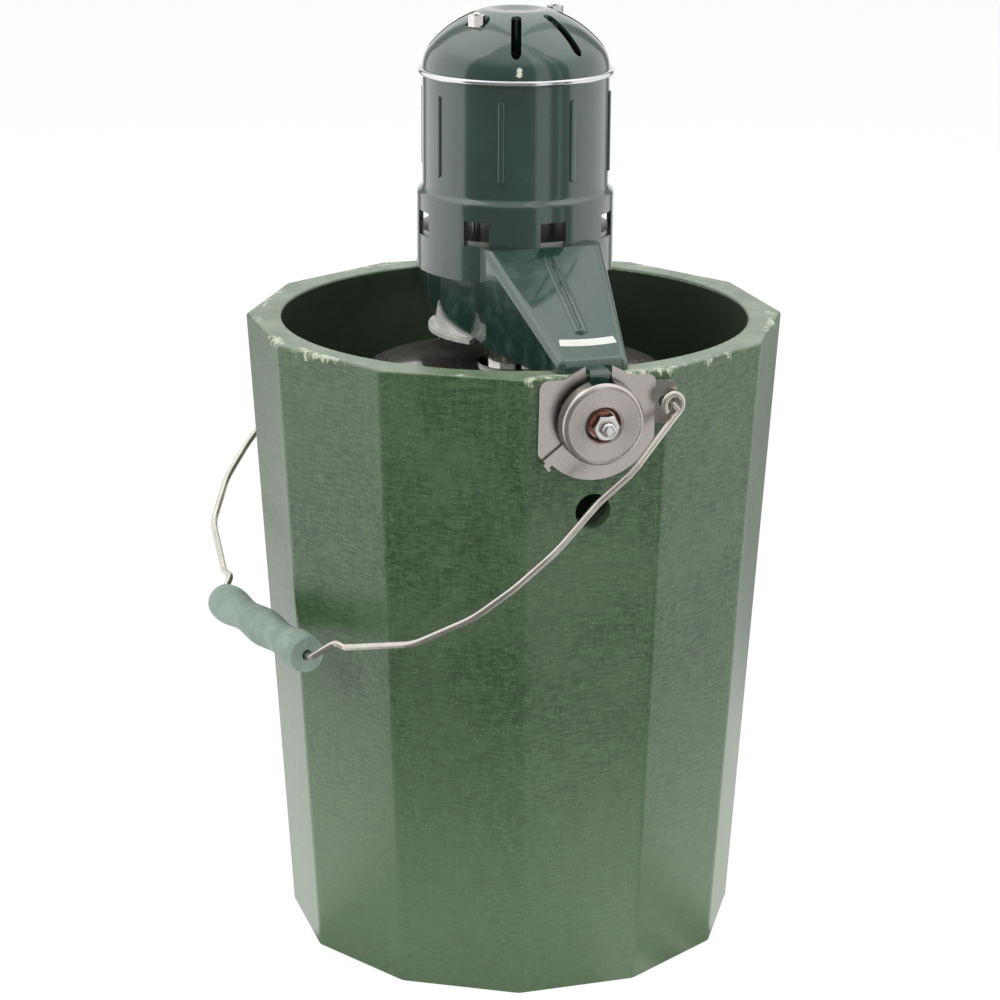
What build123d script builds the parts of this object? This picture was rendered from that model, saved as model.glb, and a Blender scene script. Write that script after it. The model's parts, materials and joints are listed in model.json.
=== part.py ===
from build123d import *
from math import acos, atan, cos, hypot, pi, radians, sin, tan
import os

os.makedirs("parts", exist_ok=True)

# Electric ice cream freezer: a twelve-sided tub with a spinning can inside, driven from above
# by a geared motor whose two arms sit on the rim and are held by a turning latch at each side.
# Millimetres. Z is up, the origin is the centre of the tub's base, and the front latch faces -Y.

# ---------------------------------------------------------------- clearances
running_fit = 0.06        # radial, shaft in bore
loose_gap = 0.4           # between pieces that pass each other
rest_gap = 0.3            # between a piece and the stop it rests on
flat_gap = 0.1            # between a piece and the flat that holds a square or a key

# ---------------------------------------------------------------- tub
tub_height = 362.0
tub_sides = 12
rim_across_flats = 294.4
base_across_flats = 252.6
tub_bore_rim = 132.3      # radius of the round inside at the rim
tub_bore_floor = 113.0
tub_floor = 16.0
tub_corner = 7.0
tub_edge = 1.6
floor_corner = 6.0
drain_radius = 9.8
drain_below_rim = 76.0
pivot_cup_radius = 16.0
pivot_cup_height = 10.0

rim_apothem = rim_across_flats / 2
base_apothem = base_across_flats / 2
wall_slope = atan((rim_apothem - base_apothem) / tub_height)
facet_angle = 360 / tub_sides


def bore_radius(z):
    """Radius of the tub's round inside at height z."""
    share = (z - tub_floor) / (tub_height - tub_floor)
    return tub_bore_floor + (tub_bore_rim - tub_bore_floor) * share


# ---------------------------------------------------------------- brackets and latches
# Heights on a bracket run down the facet from the rim.
bracket_plate = 1.6
bracket_half_width = 32.2
bracket_top_drop = 1.0
bracket_side_drop = 45.0
bracket_corner = 5.0
lip_rise = 5.3            # the lips beside the slot stand above the rim
lip_half_width = 18.5
slot_half_width = 7.3
slot_depth = 15.0
bracket_foot_radius = 34.0
latch_drop = 23.7         # latch centre below the rim
latch_bolt_radius = 3.95
bolt_head_radius = 9.5
bolt_head_height = 4.0
bolt_seat_depth = 1.4
cup_radius = 22.9
cup_wall = 1.2
cup_back = 5.4            # the cup's open edge, out from the facet
cup_front = 14.2
cup_corner = 3.2
cup_dish = 1.3
dimple_radius = 8.4
dimple_floor = 8.0
notch_half_width = 6.4
notch_depth = 5.6
lever_plate = 1.5
lever_width = 5.0
lever_reach = 37.5
lever_disc_radius = 9.6
lever_boss_radius = 6.8
lever_angle = 219.0       # where the lever points when the latch is open, seen from outside
fibre_washer = 2.2
fibre_washer_radius = 7.4
nut_across_flats = 12.7
nut_height = 6.4
bolt_end_length = 4.6
ear_drop = 16.3
ear_height = 24.0
ear_length = 11.4
ear_bend = 25.0
ear_corner = 5.0
ear_root = 0.35           # how far the ear runs back into the plate at the bend
ear_hole_radius = 3.6
ear_hole_reach = 5.6

# ---------------------------------------------------------------- bail
bail_wire_radius = 1.9
eye_radius = 5.5          # wire centre of the coiled eye
eye_arc = 272.0
pin_reach = 1.6           # the wire's end behind the ear hole
grip_reach = 217.0        # bail's pivot axis to the grip's axis
grip_length = 104.0
grip_end_radius = 11.0
grip_waist_radius = 8.9
grip_middle_radius = 10.6
grip_mouth_radius = 3.0
grip_mouth_depth = 4.0
bail_hang_angle = 49.6    # from straight down, out towards the side the bail rests on

# ---------------------------------------------------------------- drive housing
case_radius = 55.3        # heights of the drive are above the rim
case_bottom = 28.5
case_wall = 4.0
neck_radius = 42.5
neck_wall = 4.0
neck_bottom = -5.0
bridge_bottom = 23.0
bridge_plate = 4.0
arm_root_half_width = 33.5
arm_tip_half_width = 19.5
arm_tip = 141.0           # arm's end from the axis
arm_tip_top = 5.9
arm_wall = 4.0
arm_web_reach = 112.0
foot_inner = 133.2
arm_edge = 5.0
nose_half_width = 5.2
nose_top = 3.2
nose_corner = 2.0
hook_plate = 2.2
hook_out = 4.4
hook_drop_top = 4.6
hook_drop_bottom = 10.8
rib_radius = 1.7
rib_gap = 4.6
rib_sink = 0.5            # how far the ribs' axes lie under the arm's top
rib_end_radius = 2.6
rib_start = 63.0
rib_end = 119.0
cover_plate = 4.0
cover_screw_circle = 34.2
cover_screw_radius = 2.0
cover_screw_head = 3.6
cover_screw_head_height = 2.4
cover_screw_length = 11.0
screw_slot = 0.9
cover_screw_count = 3
boss_wall = 3.0           # metal around a screw or bolt hole

# ---------------------------------------------------------------- gear train
gear_module = 0.8
motor_teeth = 12
wheel_teeth = 48
pinion_teeth = 15
output_teeth = 45
gear_centres = gear_module * (pinion_teeth + output_teeth) / 2
train_angle = 118.0       # direction from the drive's axis to the intermediate gear
tooth_backlash = 0.16
addendum = 0.85
dedendum = 1.1
pressure_angle = radians(20)
upper_gear_bottom = 36.6
upper_gear_width = 8.4
lower_gear_bottom = 10.0
lower_gear_width = 9.0
gear_pin_radius = 3.0
sleeve_radius = 14.8
sleeve_bottom = -17.0
dog_length = 6.0
dog_half_width = 3.0
dog_inner = 11.0
post_radius = 8.5         # fixed post that the output gear's sleeve runs on
post_bottom = -15.5
post_spigot = 7.5
post_flange_radius = 12.0
post_flange = 3.0
square_half = 4.9         # half the width of the square that holds the dasher
square_depth = 22.0
square_length = 20.5

# ---------------------------------------------------------------- motor
motor_azimuth = -107.3    # direction of the slot that faces forward
seam_level = 48.4         # joint between the gear case and the end bell
motor_plate_height = 2.6
bell_shoulder = 69.5
bell_neck = 75.6
bell_wall = 1.6
bell_flange = 2.0
bell_flange_inner = 48.2
spigot_height = 3.0
spigot_wall = 1.4
shell_radius = 52.2
shell_wall = 1.5
shell_top = 136.5
shell_rib_count = 8
shell_rib_turn = -8.5
shell_rib_width = 3.6
shell_rib_proud = 1.1
shell_rib_bottom = 83.0
shell_rib_top = 128.0
window_count = 8
window_width = 15.0
window_top = 62.0
window_corner = 1.2
trim_radius = 53.0        # wire centre of the bright bead
trim_bead = 1.7
trim_web = 3.0
dome_wall = 1.6
dome_shoulder_radius = 47.5
dome_shoulder = 152.5
dome_brow_radius = 20.0
dome_brow = 171.0
dome_crown_radius = 14.0  # highest ring of the dome
dome_crown = 171.5
dome_dish = 1.5           # depth of the dish inside that ring
dome_slot_width = 5.6
dome_slot_inner = 22.0
dome_slot_outer = 49.0
dome_slot_floor = 146.0
tie_bolt_circle = 30.5
tie_bolt_turn = 135.0     # from the forward slot
tie_bolt_radius = 2.4
tie_bolt_bottom = 30.0
tie_nut_across_flats = 8.4
tie_nut_height = 6.2
tie_bolt_end = 1.2
tie_pocket_radius = 7.2
tie_pocket_drop = 6.9      # the tie nuts' seats below the dome's crown
shaft_radius = 3.96
shaft_step_radius = 2.4   # the shaft's lower end, under the pinion
shaft_bottom = 35.6
shaft_step_level = 45.6
shaft_top = 163.0
bearing_radius = 9.0
bearing_length = 11.0
bearing_wall = 3.0
upper_bearing_bottom = 150.5
rotor_radius = 23.4
rotor_slots = 11
rotor_slot_width = 2.0
rotor_slot_depth = 6.0
air_gap = 0.6
stack_bottom = 84.0
stack_top = 118.0
coil_overhang = 8.0
coil_inner = 28.6
coil_outer = 44.0
coil_gap = 11.0           # between neighbouring windings
fan_radius = 26.5
fan_bottom = 130.0
fan_disc = 1.2
fan_height = 9.0
fan_blades = 8
fan_hub_radius = 9.0
grommet_azimuth = 35.0
grommet_radius = 6.6
grommet_neck = 5.0
grommet_bore = 3.6
grommet_level = 39.5
grommet_flange = 2.6

# ---------------------------------------------------------------- can, lid and dasher
can_radius = 81.5
can_wall = 1.2
can_bottom = 28.0         # above the tub's base
can_corner = 9.0
can_roll = 1.9
pivot_radius = 6.0
pivot_play = 1.5          # the can's pivot is loose in its cup
pivot_flange_radius = 14.0
pivot_flange = 1.5
centre_pin_radius = 4.0
centre_pin_height = 12.0
lid_top_drop = 33.0       # top of the lid's rim below the tub's rim
lid_radius = 86.2
lid_wall = 2.4
lid_skirt = 15.0
lid_corner = 2.2
lid_step_radius = 72.0
lid_step_rise = 3.0
hub_radius = 15.2
hub_flange_radius = 21.0
hub_flange = 1.6
hub_top_drop = 17.6
hub_bore = 9.0
stem_radius = 6.0
dasher_plate = 3.0
dasher_bar = 14.0
dasher_half_width = 71.0
dasher_bottom = 36.0
dasher_top_gap = 14.0
dasher_boss_radius = 8.0
scraper_thickness = 6.0
scraper_width = 15.0
scraper_reach = 79.3
collar_wall = 3.0
collar_flange_reach = 6.4
collar_flange = 3.2
collar_bottom = -9.0
collar_top = 5.0
collar_start = 145.0
collar_sweep = 77.0

# Levels and radii that follow from the sizes above.
can_top = tub_height - lid_top_drop - lid_wall - rest_gap
lid_level = -lid_top_drop + lid_step_rise
cover_top = neck_bottom + cover_plate
shelf_level = case_bottom + case_wall
bridge_top = bridge_bottom + bridge_plate
neck_bore = neck_radius - neck_wall
case_bore = case_radius - case_wall
bell_bore = case_radius - bell_wall
shell_bore = shell_radius - shell_wall
plate_top = seam_level + motor_plate_height
stator_bore = rotor_radius + air_gap
screw_turn = train_angle + 60
tie_pocket_level = dome_crown - tie_pocket_drop


def rim(level):
    """Height of a drive level, which is counted from the rim."""
    return tub_height + level


# ---------------------------------------------------------------- facet planes
# A facet plane lies on the tub's outer wall with its origin in the middle of the rim's edge,
# X across the facet, Y up the facet and Z straight out of it.
def facet_plane(out=0.0, drop=0.0, turn=0):
    """The front facet's plane, or another's, moved out of the wall and down the facet."""
    outward = Vector(0, -cos(wall_slope), -sin(wall_slope))
    up = Vector(0, -sin(wall_slope), cos(wall_slope))
    origin = Vector(0, -rim_apothem, tub_height) + outward * out - up * drop
    across = Vector(1, 0, 0)
    return Plane(
        origin=origin.rotate(Axis.Z, turn),
        x_dir=across.rotate(Axis.Z, turn),
        z_dir=outward.rotate(Axis.Z, turn),
    )


def rear(part):
    """The same piece on the opposite facet."""
    return part.rotate(Axis.Z, 180)


def outward_planes(count, azimuth, level):
    """Upright planes round the axis that face outwards: X across, Y up, Z out."""
    planes = []
    for step in range(count):
        out = Vector(1, 0, 0).rotate(Axis.Z, azimuth + 360 * step / count)
        planes.append(Plane(origin=(0, 0, rim(level)), x_dir=out.rotate(Axis.Z, 90), z_dir=out))
    return planes


def finish(part, name):
    """Names a finished piece and writes it."""
    part.label = name
    export_step(part, f"parts/{name}.step")


def pair(name, *parts):
    """Several separate solids kept together as one named node."""
    finish(Compound(children=list(parts)), name)


def gear_points(teeth, turn):
    """Outline of a spur gear with involute flanks, one tooth centred at the angle turn."""
    pitch = gear_module * teeth / 2
    base = pitch * cos(pressure_angle)
    tip = pitch + addendum * gear_module
    root = pitch - dedendum * gear_module
    half_tooth = pi / (2 * teeth) - tooth_backlash / (2 * pitch)
    involute_pitch = tan(pressure_angle) - pressure_angle
    flank = []
    for radius in (root, max(base, root) + 0.01, (pitch + max(base, root)) / 2, pitch, (pitch + tip) / 2, tip):
        slope = acos(min(1.0, base / radius))
        flank.append((radius, half_tooth + involute_pitch - (tan(slope) - slope)))
    points = []
    for tooth in range(teeth):
        middle = radians(turn) + 2 * pi * tooth / teeth
        for radius, half in flank:
            points.append((radius * cos(middle - half), radius * sin(middle - half)))
        for radius, half in reversed(flank):
            points.append((radius * cos(middle + half), radius * sin(middle + half)))
    return points


# ================================================================ tub
with BuildPart() as tub:
    # Twelve flat sides that draw in towards the base, with softened corners.
    with BuildSketch(Plane.XY):
        RegularPolygon(base_apothem, tub_sides, major_radius=False, rotation=facet_angle / 2)
    with BuildSketch(Plane.XY.offset(tub_height)):
        RegularPolygon(rim_apothem, tub_sides, major_radius=False, rotation=facet_angle / 2)
    loft()
    corners = tub.edges().filter_by(lambda edge: edge.length > tub_height * 0.9)
    fillet(corners, tub_corner)
    # Round inside, wider at the rim, with a rounded floor.
    with BuildSketch(Plane.XZ):
        with BuildLine():
            FilletPolyline(
                (0, tub_height),
                (0, tub_floor),
                (tub_bore_floor, tub_floor),
                (tub_bore_rim, tub_height),
                radius=(0.0, floor_corner),
            )
            Line((tub_bore_rim, tub_height), (0, tub_height))
        make_face()
    revolve(axis=Axis.Z, mode=Mode.SUBTRACT)
    fillet(tub.edges().group_by(Axis.Z)[-1], tub_edge)
    # Brine drain in the front wall.
    with BuildSketch(facet_plane(out=tub_edge, drop=drain_below_rim)):
        Circle(drain_radius)
    extrude(amount=-(rim_apothem - bore_radius(tub_height - drain_below_rim)) - 12, mode=Mode.SUBTRACT)
    # A hole and an inner seat for each latch bolt.
    bolt_seat = bore_radius(tub_height - latch_drop) + bolt_seat_depth
    wall_here = rim_apothem - latch_drop * sin(wall_slope) - bolt_seat
    for turn in (0, 180):
        facet = facet_plane(out=tub_edge, drop=latch_drop, turn=turn)
        with BuildSketch(facet):
            Circle(latch_bolt_radius + running_fit)
        extrude(amount=-(wall_here + tub_edge + bolt_head_height * 2), mode=Mode.SUBTRACT)
        with BuildSketch(facet.offset(-(wall_here + tub_edge))):
            Circle(bolt_head_radius + loose_gap)
        extrude(amount=-bolt_head_height * 2, mode=Mode.SUBTRACT)
finish(tub.part, "tub")

with BuildPart() as pivot_cup:
    with BuildSketch(Plane.XY.offset(tub_floor)):
        Circle(pivot_cup_radius)
        Circle(pivot_radius + pivot_play, mode=Mode.SUBTRACT)
    extrude(amount=pivot_cup_height)
    fillet(pivot_cup.edges().group_by(Axis.Z)[-1].sort_by(SortBy.LENGTH)[-1], 3.0)
finish(pivot_cup.part, "pivot_cup")

# ================================================================ brackets
latch_centre = (0, -latch_drop)
with BuildPart() as bracket:
    with BuildSketch(facet_plane()) as plate:
        # Straight-sided plate with a round foot about the latch.
        with Locations((0, -(bracket_top_drop + bracket_side_drop) / 2)):
            Rectangle(2 * bracket_half_width, bracket_side_drop - bracket_top_drop)
        fillet(plate.vertices(), bracket_corner)
        with BuildSketch(Plane.XY, mode=Mode.PRIVATE) as foot:
            with Locations(latch_centre):
                Circle(bracket_foot_radius)
                Rectangle(
                    2 * bracket_half_width,
                    2 * bracket_foot_radius,
                    align=(Align.CENTER, Align.MAX),
                    mode=Mode.INTERSECT,
                )
        add(foot.sketch)
        # Lips that rise beside the slot for the drive's nose.
        with BuildLine():
            Polyline(
                (-lip_half_width, -bracket_top_drop),
                (-slot_half_width, lip_rise),
                (slot_half_width, lip_rise),
                (lip_half_width, -bracket_top_drop),
                (lip_half_width, -2 * bracket_top_drop),
                (-lip_half_width, -2 * bracket_top_drop),
                close=True,
            )
        make_face()
        with Locations((0, lip_rise)):
            Rectangle(2 * slot_half_width, 2 * (slot_depth + lip_rise - slot_half_width), mode=Mode.SUBTRACT)
        with Locations((0, -slot_depth + slot_half_width)):
            Circle(slot_half_width, mode=Mode.SUBTRACT)
        with Locations(latch_centre):
            Circle(latch_bolt_radius + running_fit, mode=Mode.SUBTRACT)
    extrude(amount=bracket_plate)
    # Ear for the bail, bent out from the plate's right edge.
    plate_face = facet_plane(out=bracket_plate, drop=ear_drop)
    bend_line = plate_face.from_local_coords((bracket_half_width - ear_root, 0, 0))
    ear_along = plate_face.x_dir * cos(radians(ear_bend)) + plate_face.z_dir * sin(radians(ear_bend))
    ear_out = plate_face.z_dir * cos(radians(ear_bend)) - plate_face.x_dir * sin(radians(ear_bend))
    ear_plane = Plane(origin=bend_line, x_dir=ear_along, z_dir=ear_out)
    with BuildSketch(ear_plane) as ear:
        with Locations(((ear_length - ear_root) / 2, 0)):
            Rectangle(ear_length + ear_root, ear_height)
        fillet(ear.vertices().group_by(Axis.X)[-1], ear_corner)
        with Locations((ear_hole_reach, 0)):
            Circle(ear_hole_radius, mode=Mode.SUBTRACT)
    extrude(amount=-bracket_plate)
finish(bracket.part, "front_bracket")
finish(rear(bracket.part), "rear_bracket")

# ================================================================ latch bolts, washers and nuts
bolt_head_seat = -wall_here
washer_back = dimple_floor + cup_wall + rest_gap
nut_back = washer_back + fibre_washer
bolt_end = nut_back + nut_height + bolt_end_length
with BuildPart() as latch_bolt:
    with BuildSketch(facet_plane(out=bolt_head_seat, drop=latch_drop)):
        Circle(latch_bolt_radius)
    extrude(amount=bolt_end - bolt_head_seat)
    fillet(latch_bolt.faces().sort_by(Axis.Y)[0].edges(), latch_bolt_radius * 0.55)
    with BuildSketch(facet_plane(out=bolt_head_seat, drop=latch_drop)):
        Circle(bolt_head_radius)
    extrude(amount=-bolt_head_height)
    fillet(latch_bolt.faces().sort_by(Axis.Y)[-1].edges(), bolt_head_height * 0.6)
pair("latch_bolts", latch_bolt.part, rear(latch_bolt.part))

with BuildPart() as washer:
    with BuildSketch(facet_plane(out=washer_back, drop=latch_drop)):
        Circle(fibre_washer_radius)
        Circle(latch_bolt_radius, mode=Mode.SUBTRACT)
    extrude(amount=fibre_washer)
pair("fibre_washers", washer.part, rear(washer.part))

with BuildPart() as nut:
    with BuildSketch(facet_plane(out=nut_back, drop=latch_drop)):
        RegularPolygon(nut_across_flats / 2, 6, major_radius=False)
        Circle(latch_bolt_radius, mode=Mode.SUBTRACT)
    extrude(amount=nut_height)
    # Chamfered corners, as a cone trims them.
    with BuildSketch(facet_plane(out=nut_back, drop=latch_drop)):
        Circle(nut_across_flats / 2 + nut_height)
    extrude(amount=nut_height, taper=45, mode=Mode.INTERSECT)
pair("latch_nuts", nut.part, rear(nut.part))

# ================================================================ latches
cup_plane = facet_plane(drop=latch_drop)
cup_axis = Axis(cup_plane.origin, cup_plane.z_dir)
cup_side = Plane(origin=cup_plane.origin, x_dir=cup_plane.x_dir, z_dir=-cup_plane.y_dir)
boss_bore = latch_bolt_radius + running_fit
with BuildPart() as cup:
    # Dished stainless cup: side wall, rolled front edge, dished face and a deep dimple.
    with BuildSketch(cup_side) as profile:
        with BuildLine():
            outer = FilletPolyline(
                (cup_radius, cup_back),
                (cup_radius - 0.6, cup_front),
                (dimple_radius + 1.4, cup_front - cup_dish),
                (dimple_radius, dimple_floor + cup_wall),
                (boss_bore, dimple_floor + cup_wall),
                radius=(cup_corner, 1.6, 0.8),
            )
            inner = FilletPolyline(
                (boss_bore, dimple_floor),
                (dimple_radius + cup_wall, dimple_floor),
                (dimple_radius + cup_wall + 0.6, cup_front - cup_dish - cup_wall),
                (cup_radius - cup_wall - 0.5, cup_front - cup_wall),
                (cup_radius - cup_wall, cup_back),
                radius=(1.6, 0.6, cup_corner - cup_wall),
            )
            Line(outer @ 1, inner @ 0)
            Line(inner @ 1, outer @ 0)
        make_face()
    revolve(axis=cup_axis)
    # Notch in the side wall, which the drive's hook passes when the latch is open.
    with BuildSketch(cup_plane.offset(cup_back - loose_gap)):
        with Locations((0, cup_radius)):
            Rectangle(2 * notch_half_width, 2 * (cup_corner + cup_wall))
    extrude(amount=notch_depth + loose_gap, mode=Mode.SUBTRACT)
finish(cup.part, "front_latch_cup")
finish(rear(cup.part), "rear_latch_cup")

lever_back = bracket_plate + rest_gap
with BuildPart() as lever:
    # Flat thumb lever under the cup, with the boss that the cup sits on.
    with BuildSketch(cup_plane.offset(lever_back)):
        Circle(lever_disc_radius)
        with PolarLocations(lever_reach / 2, 1, start_angle=lever_angle):
            Rectangle(lever_reach, lever_width)
        Circle(boss_bore, mode=Mode.SUBTRACT)
    extrude(amount=lever_plate)
    with BuildSketch(cup_plane.offset(lever_back)):
        Circle(lever_boss_radius)
        Circle(boss_bore, mode=Mode.SUBTRACT)
    extrude(amount=dimple_floor - lever_back)
    # Turned-up end for the thumb.
    tip = PolarLocations(lever_reach - lever_plate / 2, 1, start_angle=lever_angle)
    with BuildSketch(cup_plane.offset(lever_back)):
        with tip:
            Rectangle(lever_plate, lever_width)
    extrude(amount=lever_width)
finish(lever.part, "front_latch_lever")
finish(rear(lever.part), "rear_latch_lever")

# ================================================================ bail
# The pivot axis runs level through both ear holes and the tub's centre line.
hole_front = ear_plane.from_local_coords((ear_hole_reach, 0, -bracket_plate / 2))
pivot_level = hole_front.Z
hole_reach = hypot(hole_front.X, hole_front.Y)
pivot_out = Vector(hole_front.X / hole_reach, hole_front.Y / hole_reach, 0)
pivot_across = Vector(-pivot_out.Y, pivot_out.X, 0)
hang = radians(bail_hang_angle)
bail_down = Vector(0, 0, -1) * cos(hang) - pivot_across * sin(hang)
bail_side = pivot_out.cross(bail_down)
if bail_side.Z > 0:
    bail_side = -bail_side
ear_forward = (ear_length - ear_hole_reach) * ear_along.dot(pivot_out)
eye_standoff = ear_forward + bracket_plate / 2 * ear_out.dot(pivot_out) + bail_wire_radius + 2 * loose_gap
eye_reach = hole_reach + eye_standoff
pivot_axis = Axis((0, 0, pivot_level), pivot_out)
wire_origin = Vector(0, 0, pivot_level) + bail_side * eye_radius
wire_plane = Plane(origin=wire_origin, x_dir=pivot_out, z_dir=pivot_out.cross(bail_down))

# The arms bow out where they swing over the latch: first over the cup's edge, then over the bolt.
cup_edge = facet_plane(out=cup_front, drop=latch_drop).from_local_coords((cup_radius, 0, 0))
bolt_tip = facet_plane(out=bolt_end, drop=latch_drop).origin
cup_pass = cup_edge.dot(pivot_out) + bail_wire_radius + 2 * loose_gap
bolt_pass = bolt_tip.dot(pivot_out) + bail_wire_radius + 2 * loose_gap
latch_distance = hypot(bolt_tip.dot(pivot_across), pivot_level - bolt_tip.Z)

# Half of the bail from the eye to the grip, as distance along the pivot axis and distance from it.
arm_points = [
    (cup_pass, latch_distance - cup_radius),
    (bolt_pass, latch_distance - latch_bolt_radius),
    (bolt_pass, latch_distance + latch_bolt_radius),
    (eye_reach + 1.0, 66.0),
    (eye_reach + 2.0, 100.0),
    (eye_reach - 4.0, 128.0),
    (eye_reach - 14.0, 153.0),
    (eye_reach - 39.0, 181.0),
    (eye_reach - 86.0, 202.0),
    (eye_reach - 96.0, 202.5),
    (grip_length / 2 + 4.0, grip_reach),
]
arm_bends = [12.0, 8.0, 8.0, 40.0, 60.0, 50.0, 40.0, 30.0, 6.0, 6.0, 5.0]
half_route = [(eye_reach, 0.0)] + arm_points
whole_route = half_route + [(-reach, drop) for reach, drop in reversed(half_route)]
whole_bends = arm_bends + arm_bends[::-1]
with BuildPart() as bail_wire:
    with BuildLine(wire_plane) as route:
        FilletPolyline(*whole_route, radius=whole_bends)
    with BuildSketch(Plane(origin=route.line @ 0, z_dir=route.line % 0)):
        Circle(bail_wire_radius)
    sweep(path=route.line)
    for end in (1, -1):
        # Coiled eye, closed by a spoke and a pin that turns in the ear.
        start = wire_origin + pivot_out * eye_reach * end
        with BuildSketch(Plane(origin=start, z_dir=bail_down)):
            Circle(bail_wire_radius)
        coil_turn = eye_arc if (pivot_out.cross(bail_side)).dot(bail_down) < 0 else -eye_arc
        revolve(axis=pivot_axis, revolution_arc=coil_turn)
        centre = Vector(0, 0, pivot_level) + pivot_out * eye_reach * end
        spoke_end = Vertex(start.X, start.Y, start.Z).rotate(pivot_axis, coil_turn)
        spoke_end = Vector(spoke_end.X, spoke_end.Y, spoke_end.Z)
        with BuildSketch(Plane(origin=centre, z_dir=spoke_end - centre)):
            Circle(bail_wire_radius)
        extrude(amount=eye_radius)
        with Locations(spoke_end, centre):
            Sphere(bail_wire_radius)
        with BuildSketch(Plane(origin=centre, z_dir=pivot_out * -end)):
            Circle(bail_wire_radius)
        extrude(amount=eye_standoff + bracket_plate / 2 + pin_reach)
finish(bail_wire.part, "bail_wire")

grip_centre = wire_origin + bail_down * grip_reach
grip_axis = Axis(grip_centre, pivot_out)
grip_plane = Plane(origin=grip_centre, x_dir=pivot_out, z_dir=pivot_out.cross(bail_down))
with BuildPart() as bail_grip:
    with BuildSketch(grip_plane):
        with BuildLine():
            half = grip_length / 2
            crown = Spline(
                (-half, grip_end_radius * 0.9),
                (-half * 0.86, grip_end_radius),
                (-half * 0.45, grip_waist_radius),
                (0, grip_middle_radius),
                (half * 0.45, grip_waist_radius),
                (half * 0.86, grip_end_radius),
                (half, grip_end_radius * 0.9),
            )
            bore = bail_wire_radius + running_fit
            Polyline(
                crown @ 1,
                (half, grip_mouth_radius),
                (half - grip_mouth_depth, bore),
                (-half + grip_mouth_depth, bore),
                (-half, grip_mouth_radius),
                crown @ 0,
            )
        make_face()
    revolve(axis=grip_axis)
finish(bail_grip.part, "bail_grip")

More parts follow.
